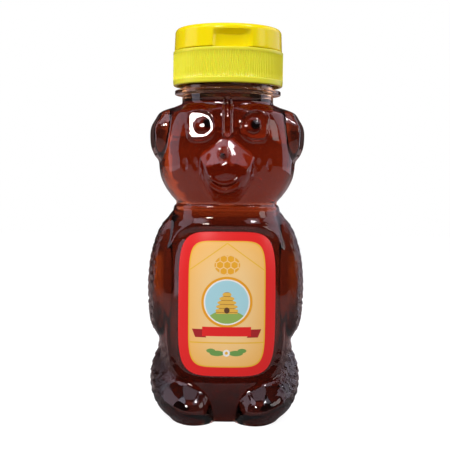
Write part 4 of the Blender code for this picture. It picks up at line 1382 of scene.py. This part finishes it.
def pet_material(bear):
    """Clear blown plastic: smooth gloss with slow ripples, fine strokes in the fur and painted
    shade in the neck.
    """
    material, nodes = new_material("clear_pet")
    strokes = nodes.group("fur_strokes", Place=nodes.place(), Fineness=900.0, Squeeze=0.35)
    height = nodes.product(strokes["Stroke"], nodes.attribute("fur"), 1.7)
    height = nodes.maths("MULTIPLY_ADD", nodes.noise(70.0, 1.0), 0.35, height)
    _, _, up = nodes.parts(nodes.place())
    # Painted shade: the neck takes an amber tint for the shaded cap seen through it.
    neck = nodes.ramp(up, bear.bear_height, bear.bear_height + NECK_FADE)
    nodes.finish(Base_Color=nodes.mixed(neck, bear.plastic_colour, bear.neck_painted_shade),
                 Roughness=0.03, IOR=PET_IOR, Transmission_Weight=1.0,
                 Normal=nodes.bump(height, 0.8, 0.6 * MM))
    return material


def wetted_material(bear):
    """The wall's inner face under the honey, where the two bend light almost alike."""
    material, nodes = new_material("wetted_pet")
    nodes.finish(Base_Color=bear.plastic_colour, Roughness=0.0, IOR=1.0,
                 Transmission_Weight=1.0)
    return material


def film_material(bear):
    """The bore above the honey, with a clinging film of honey whose tint is also painted shade."""
    material, nodes = new_material("honey_film")
    tint = nodes.mixed(nodes.noise(120.0, 1.0), bear.film_colour, bear.thin_film_colour)
    nodes.finish(Base_Color=tint, Roughness=0.0, IOR=PET_IOR, Transmission_Weight=1.0)
    return material


def honey_tint(nodes, fill, across, up):
    """Painted light and shade in the honey's tint: darker in the body than in the head, and a
    painted glow in each arm.
    """

    def ramp(value, start, end):
        """0 at a start and 1 at an end, both in millimetres."""
        return nodes.ramp(value, start * MM, end * MM)

    outward = nodes.maths("ABSOLUTE", across)
    # Painted shade on the sides of the arms and legs, and a painted amber glow in each arm where
    # light would shine through.
    beside = ramp(outward, 21.5, 23.5)
    near = nodes.maths("ABSOLUTE", nodes.maths("SUBTRACT", up, GLOW_HEIGHT))
    patch = nodes.product(ramp(near, 10, 7), ramp(outward, 22.5, 24.0), ramp(outward, 29.0, 27.5))
    clouds = nodes.ramp(nodes.noise(60.0, 3.0), 0.8 / 3, 0.6)
    body = nodes.mixed(beside, fill.body_painted_shade, fill.limb_painted_shade)
    body = nodes.mixed(nodes.product(patch, clouds), body, fill.arm_painted_glow)
    # Painted light in the jaw, and painted shade in the brow and the ears.
    head = nodes.mixed(ramp(up, 96, 76), fill.head_painted_light, fill.jaw_painted_glow)
    head = nodes.mixed(ramp(up, 99, 112), head, fill.brow_painted_shade)
    head = nodes.mixed(nodes.product(beside, ramp(up, 92, 96)), head, fill.ear_painted_shade)
    return nodes.mixed(ramp(up, 72, 80), body, head)


def with_shade_spots(nodes, tint, across, back, up):
    """A tint with spots of painted shade at the pupils and the nostril, in the front half alone.
    """
    flat = nodes.add("CombineXYZ", X=across, Z=up).outputs["Vector"]
    front = nodes.ramp(back, 0.0, -4 * MM)
    for x, z, radius in PAINTED_SHADE_SPOTS:
        far = nodes.distance(flat, (x * MM, 0.0, z * MM))
        spot = nodes.ramp(far, (radius + 0.25) * MM, (radius - 0.25) * MM)
        tint = nodes.mixed(nodes.product(spot, front), tint, (0.0, 0.0, 0.0))
    return tint


def honey_material(fill):
    """Clear honey that takes its colour from the way that light has come through it.

    It bends light only at its open top, because along the wall the plastic bends light
    alike. Its tint is painted light and shade, with painted strokes of shade in the fur's roots.
    """
    material, nodes = new_material("honey")
    across, back, up = nodes.parts(nodes.place())
    tint = with_shade_spots(nodes, honey_tint(nodes, fill, across, up), across, back, up)
    # Painted shade: dark strokes in the roots of the fur.
    strokes = nodes.group("fur_strokes", Place=nodes.place(), Fineness=750.0, Squeeze=0.4)
    shade = nodes.product(nodes.ramp(strokes["Stroke"], 0.38, 0.58), nodes.attribute("fur"), 0.75)
    tint = nodes.mixed(shade, tint, fill.fur_painted_shade)
    open_top = nodes.maths("GREATER_THAN", up, HONEY_LEVEL - HONEY_CLIMB - 0.02 * MM)
    nodes.finish(Base_Color=tint, Roughness=0.0, Transmission_Weight=1.0,
                 IOR=nodes.scaled(open_top, 0.5, 1.0))
    depth = nodes.add("VolumeAbsorption", Color=fill.absorption_colour, Density=fill.density)
    nodes.wire(nodes.tree.nodes["Material Output"], Volume=depth.outputs["Volume"])
    return material


def plastic_material(name, tint, roughness):
    """Moulded plastic with a fine grain, a slow tint and duller patches from handling."""
    material, nodes = new_material(name)
    height, slow = nodes.group("mould_grain", Place=nodes.place(), Fineness=1400.0)
    deep = tuple(part * 0.93 for part in tint)
    nodes.finish(Base_Color=nodes.mixed(slow, deep, tint),
                 Roughness=nodes.scaled(slow, 0.12, roughness - 0.06),
                 Subsurface_Weight=0.15, Subsurface_Scale=2 * MM, Specular_IOR_Level=0.35,
                 Normal=nodes.bump(height, 0.12, 0.05 * MM))
    return material


def foil_material():
    """Dull foil with a coarse grain."""
    material, nodes = new_material("seal_foil")
    height, slow = nodes.group("mould_grain", Place=nodes.place(), Fineness=500.0)
    nodes.finish(Base_Color=nodes.mixed(slow, (0.66, 0.65, 0.62), (0.8, 0.79, 0.76)),
                 Metallic=0.6, Roughness=0.35, Normal=nodes.bump(height, 0.3, 0.1 * MM))
    return material


class Sheet(Nodes):
    """Shapes drawn on the label in its own millimetres, as masks from 0 to 1."""

    def __init__(self, tree):
        super().__init__(tree)
        flat = self.add("UVMap")
        flat.uv_map = "millimetres"
        self.x, self.y, _ = self.parts(flat.outputs["UV"])

    def inside(self, distance, soft=0.12):
        """1 where distance is below 0, with a soft edge."""
        return self.ramp(distance, soft / 2, -soft / 2)

    def off(self, x, y):
        """Distances from a point, across and up."""
        return self.maths("SUBTRACT", self.x, x), self.maths("SUBTRACT", self.y, y)

    def bulged(self, half_x, half_y, power, soft=0.12):
        """Inside |x/a|^n + |y/b|^n = 1."""
        total = 0.0
        for part, half in ((self.x, half_x), (self.y, half_y)):
            share = self.maths("ABSOLUTE", self.maths("DIVIDE", part, half))
            total = self.maths("ADD", self.maths("POWER", share, power), total)
        out = self.maths("POWER", total, 1.0 / power)
        return self.inside(self.scaled(out, half_x, -half_x), soft)

    def disc(self, x, y, radius, squash=1.0):
        """Inside a circle, or an oval whose height is squashed."""
        across, up = self.off(x, y)
        up = self.maths("DIVIDE", up, squash)
        square = self.maths("ADD", self.product(across, across), self.product(up, up))
        return self.inside(self.maths("SUBTRACT", self.maths("SQRT", square), radius))

    def box(self, x, y, half_x, half_y, lean=0.0):
        """Inside a rectangle, leaned by a share of its height."""
        across, up = self.off(x, y)
        across = self.maths("MULTIPLY_ADD", up, lean, across)
        beyond = [self.maths("SUBTRACT", self.maths("ABSOLUTE", part), half)
                  for part, half in ((across, half_x), (up, half_y))]
        return self.inside(self.maths("MAXIMUM", *beyond))

    def cells(self, x, y, pitch, size):
        """A honeycomb: the nearer of two rows of six-sided cells, half a cell apart."""
        across, up = self.off(x, y)
        rise = pitch * math.sqrt(3)
        near = []
        for shift in (0.0, 0.5):
            a, b = (
                self.maths("ABSOLUTE", self.maths(
                    "WRAP", self.maths("ADD", part, shift * step), step / 2, -step / 2))
                for part, step in ((across, pitch), (up, rise))
            )
            slant = self.maths("MULTIPLY_ADD", a, 0.5, self.product(b, 0.866))
            near.append(self.maths("MAXIMUM", slant, a))
        return self.inside(self.maths("SUBTRACT", self.maths("MINIMUM", *near), size))

    def stripes(self, pitch, start, width):
        """Level stripes at a pitch, each from its start over a width."""
        up = self.maths("WRAP", self.maths("SUBTRACT", self.y, start), pitch, 0.0)
        return self.inside(self.maths("SUBTRACT", up, width))

    def either(self, first, *others):
        """Inside any of the shapes."""
        for other in others:
            first = self.maths("MAXIMUM", first, other)
        return first

    def without(self, mask, other):
        """Inside one shape and outside another."""
        return self.maths("MULTIPLY", mask, self.maths("SUBTRACT", 1.0, other))


# The print's own inks. Border, field and thin lines are settings.
COMB_INK = (0.90, 0.42, 0.02)
RING_INK = (0.90, 0.38, 0.01)
CREAM_INK = (0.95, 0.93, 0.88)
SKY_INK = (0.42, 0.72, 0.78)
GRASS_INK = (0.30, 0.48, 0.10)
STRAW_INK = (0.86, 0.50, 0.07)
SEAM_INK = (0.42, 0.19, 0.03)
DOOR_INK = (0.12, 0.05, 0.02)
BAND_END_INK = (0.42, 0.012, 0.015)
LEAF_INK = (0.16, 0.36, 0.08)
POLLEN_INK = (0.90, 0.48, 0.02)

EMBLEM_UP = 0.8
COMB_UP = 14.2
COIL_FOOT = -2.3
COIL_PITCH = 1.45
COIL_HALF_WIDTHS = (4.1, 3.9, 3.4, 2.7, 1.6)
SPRIG_UP = -17.7


def hive_mask(art):
    """A straw hive: a foot and five coils, one on another."""
    coils = [art.disc(0.0, COIL_FOOT + COIL_PITCH * step, half, 0.95 / half)
             for step, half in enumerate(COIL_HALF_WIDTHS)]
    return art.either(art.box(0.0, -2.6, 3.9, 0.8), *coils)


def mirrored(art, shape, x, *rest, lean=None):
    """A shape and its mirror image, left and right of the sheet's middle."""
    if lean is None:
        return art.either(shape(-x, *rest), shape(x, *rest))
    return art.either(shape(-x, *rest, lean=-lean), shape(x, *rest, lean=lean))


def label_material(label):
    """A glossy printed film: plain border and field, comb cells, a hive and two sprigs.

    Each shape is painted over those before it, and the border over all of them.
    """
    material, art = new_material("label_print", Sheet)
    field = art.bulged(13.9, 22.9, 6.0)
    sky = art.disc(0.0, EMBLEM_UP, 7.8)
    hive = hive_mask(art)
    thin_lines = art.either(art.box(0.0, -14.0, 13.6, 0.22),
                            mirrored(art, art.box, 6.7, 17.2, 0.33, 4.9, lean=1.38))
    leaves = art.either(mirrored(art, art.disc, 3.4, -17.8, 2.6, 0.38),
                        mirrored(art, art.disc, 5.6, -16.9, 1.6, 0.5))
    shapes = (
        (art.without(field, art.bulged(13.45, 22.5, 6.0)), label.line_colour),
        (thin_lines, label.line_colour),
        (art.product(art.cells(0.0, COMB_UP, 2.6, 1.12), art.disc(0.0, COMB_UP, 4.6, 0.75)),
         COMB_INK),
        (art.disc(0.0, EMBLEM_UP, 9.2), RING_INK),
        (art.disc(0.0, EMBLEM_UP, 8.3), CREAM_INK),
        (sky, SKY_INK),
        (art.product(sky, art.disc(0.0, -9.0, 8.6, 0.8)), GRASS_INK),
        (hive, STRAW_INK),
        (art.product(hive, art.stripes(COIL_PITCH, COIL_FOOT - 0.72, 0.22)), SEAM_INK),
        (art.disc(0.0, -2.2, 1.0, 1.1), DOOR_INK),
        (mirrored(art, art.box, 9.9, -10.6, 2.0, 1.5, lean=-0.4), BAND_END_INK),
        (art.box(0.0, -9.9, 8.8, 1.7), label.border_colour),
        (leaves, LEAF_INK),
        (art.disc(0.0, SPRIG_UP, 1.25), CREAM_INK),
        (art.disc(0.0, SPRIG_UP, 0.55), POLLEN_INK),
    )
    ink = art.mixed(art.bulged(11.5, 19.5, 3.0, 8.0), label.warm_colour, label.field_colour)
    for mask, tint in shapes:
        ink = art.mixed(mask, ink, tint)
    ink = art.mixed(field, label.border_colour, ink)
    height, slow = art.group("mould_grain", Place=art.place(), Fineness=700.0)
    art.finish(Base_Color=ink, Roughness=art.scaled(slow, 0.1, 0.28),
               Normal=art.bump(height, 0.06, 0.05 * MM))
    return material


# Floor, lamps and camera

FLOOR_HALF = 1.5
FLOOR_GREY = (0.22, 0.22, 0.22)
FLOOR_GLOW = 0.9
SENSOR_WIDTH = 36.0
LAMP_AIM = (0.0, AXIS_Y, 75 * MM)
LILAC = (0.88, 0.82, 1.0)
DAYLIGHT = (0.9, 0.92, 1.0)
# Each lamp's azimuth and elevation in degrees, its distance, width and height in metres,
# its power in watts and its tint. Azimuth 0 is the front.
LAMPS = {
    "key": (-25, 35, 0.70, (0.16, 0.10), 2.3, WHITE),
    "window": (55, 52, 0.80, (0.12, 0.09), 0.8, DAYLIGHT),
    "upper_left": (-54, 51, 0.70, (0.28, 0.24), 0.5, LILAC),
    "upper_right": (54, 50, 0.85, (0.36, 0.30), 0.4, LILAC),
    "fill": (75, 20, 0.90, (0.30, 0.30), 0.6, WHITE),
    "left_softbox": (-87, 20, 0.55, (0.30, 0.54), 0.63, LILAC),
    "right_softbox": (116, 22, 0.55, (0.52, 0.56), 1.05, LILAC),
    "ceiling": (0, 88, 0.80, (0.7, 0.5), 1.0, LILAC),
}


def lamp(name, azimuth, elevation, distance, size, power, tint):
    """A soft rectangular lamp that faces the bottle."""
    turn, rise = math.radians(azimuth), math.radians(elevation)
    level = math.cos(rise)
    away = Vector((math.sin(turn) * level, -math.cos(turn) * level, math.sin(rise)))
    data = bpy.data.lights.new(name, "AREA")
    data.shape = "RECTANGLE"
    data.size, data.size_y = size
    data.energy = power
    data.color = tint
    obj = bpy.data.objects.new(name, data)
    obj.location = Vector(LAMP_AIM) + away * distance
    obj.rotation_euler = (-away).to_track_quat("-Z", "Y").to_euler()
    bpy.context.scene.collection.objects.link(obj)


def pale_floor(stage):
    """A wide floor that the camera and glass see as white, with its shadow kept.

    Gloss sees it fade to nothing towards the bottle, a painted shadow round its foot.
    """
    corners = [(x * FLOOR_HALF, y * FLOOR_HALF, 0)
               for x, y in ((-1, -1), (1, -1), (1, 1), (-1, 1))]
    mesh = bpy.data.meshes.new("floor")
    mesh.from_pydata(corners, [], [(0, 1, 2, 3)])
    material, nodes = new_material("floor_white")
    seen, glossy = nodes.rays()
    away = nodes.distance(nodes.place(), (0.0, 0.0, 0.0))
    # Painted shadow: the floor's glow in gloss fades out near the bottle.
    gloss = nodes.product(nodes.ramp(away, stage.gloss_near, stage.gloss_far),
                          stage.gloss_floor, glossy)
    nodes.finish(Base_Color=FLOOR_GREY, Roughness=0.9, Specular_IOR_Level=0.0,
                 Emission_Color=nodes.mixed(glossy, WHITE, stage.gloss_colour),
                 Emission_Strength=nodes.maths("MULTIPLY_ADD", seen, FLOOR_GLOW, gloss))
    mesh.materials.append(material)
    floor = bpy.data.objects.new("floor", mesh)
    bpy.context.scene.collection.objects.link(floor)


def room(stage):
    """The room's light: white to the camera and through glass, plain and soft elsewhere.

    Gloss sees a darker room, whose level rises from the front to the back.
    """
    world = bpy.data.worlds.new("room")
    world.use_nodes = True
    nodes = Nodes(world.node_tree)
    seen, glossy = nodes.rays()
    _, back, _ = nodes.parts(nodes.add("TexCoord").outputs["Generated"])
    behind = nodes.ramp(back, 0.25, 0.875)
    level = nodes.scaled(seen, 1.0 - stage.room_level, stage.room_level)
    gloss = nodes.scaled(behind, stage.gloss_back - stage.gloss_front,
                         stage.gloss_front - stage.room_level)
    level = nodes.maths("MULTIPLY_ADD", glossy, gloss, level)
    nodes.wire(world.node_tree.nodes["Background"],
               Color=nodes.mixed(glossy, WHITE, stage.gloss_colour), Strength=level)
    bpy.context.scene.world = world


def photo_camera(stage):
    """The camera, which looks a little down on the bottle's middle and is rolled a little."""
    data = bpy.data.cameras.new("camera")
    data.lens = stage.lens
    data.sensor_width = SENSOR_WIDTH
    data.clip_start = 10 * MM
    camera = bpy.data.objects.new("camera", data)
    aside = stage.camera_aside
    camera.location = (aside, AXIS_Y - stage.camera_distance, stage.camera_height)
    aim = Vector((aside, AXIS_Y, stage.aim_height)) - camera.location
    turn = aim.to_track_quat("-Z", "Y").to_matrix()
    camera.rotation_euler = (turn @ Matrix.Rotation(stage.camera_roll, 3, "Z")).to_euler()
    bpy.context.scene.collection.objects.link(camera)
    return camera


class HONEYBEAR_OT_stage(bpy.types.Operator):
    """Sets up the floor, the lamps and the camera"""

    bl_idname = "honey_bear.stage"
    bl_label = "Set Stage"

    def execute(self, context):
        stage = context.scene.honey_bear_stage
        pale_floor(stage)
        room(stage)
        for name, (azimuth, elevation, distance, size, power, tint) in LAMPS.items():
            lamp(name, azimuth, elevation, distance, size, power * stage.lamp_level, tint)
        context.scene.camera = photo_camera(stage)
        context.scene.view_settings.view_transform = "Standard"
        return {"FINISHED"}


# Panel and registration

STEPS = ("bottle", "honey", "label", "cap", "seal", "stage")


class HONEYBEAR_PT_panel(bpy.types.Panel):
    """Lists the steps that dress the bottle"""

    bl_idname = "HONEYBEAR_PT_panel"
    bl_label = "Honey Bear Bottle"
    bl_space_type = "VIEW_3D"
    bl_region_type = "UI"
    bl_category = "Honey Bear"

    def draw(self, context):
        for step in STEPS:
            self.layout.operator("honey_bear." + step)


SETTINGS = {
    "honey_bear_bottle": BearBottleSettings,
    "honey_bear_honey": HoneySettings,
    "honey_bear_cap": CapSettings,
    "honey_bear_label": LabelSettings,
    "honey_bear_stage": StageSettings,
}
CLASSES = (
    *SETTINGS.values(),
    HONEYBEAR_OT_bottle,
    HONEYBEAR_OT_honey,
    HONEYBEAR_OT_label,
    HONEYBEAR_OT_cap,
    HONEYBEAR_OT_seal,
    HONEYBEAR_OT_stage,
    HONEYBEAR_PT_panel,
)


def register():
    """Makes the settings, the operators and the panel known to Blender."""
    for cls in CLASSES:
        bpy.utils.register_class(cls)
    for name, group in SETTINGS.items():
        setattr(bpy.types.Scene, name, bpy.props.PointerProperty(type=group))


def unregister():
    """Takes them back in the opposite order."""
    for name in SETTINGS:
        delattr(bpy.types.Scene, name)
    for cls in reversed(CLASSES):
        bpy.utils.unregister_class(cls)


def main():
    """Dresses the bottle step by step."""
    register()
    for step in STEPS:
        getattr(bpy.ops.honey_bear, step)()


if __name__ == "__main__":
    main()
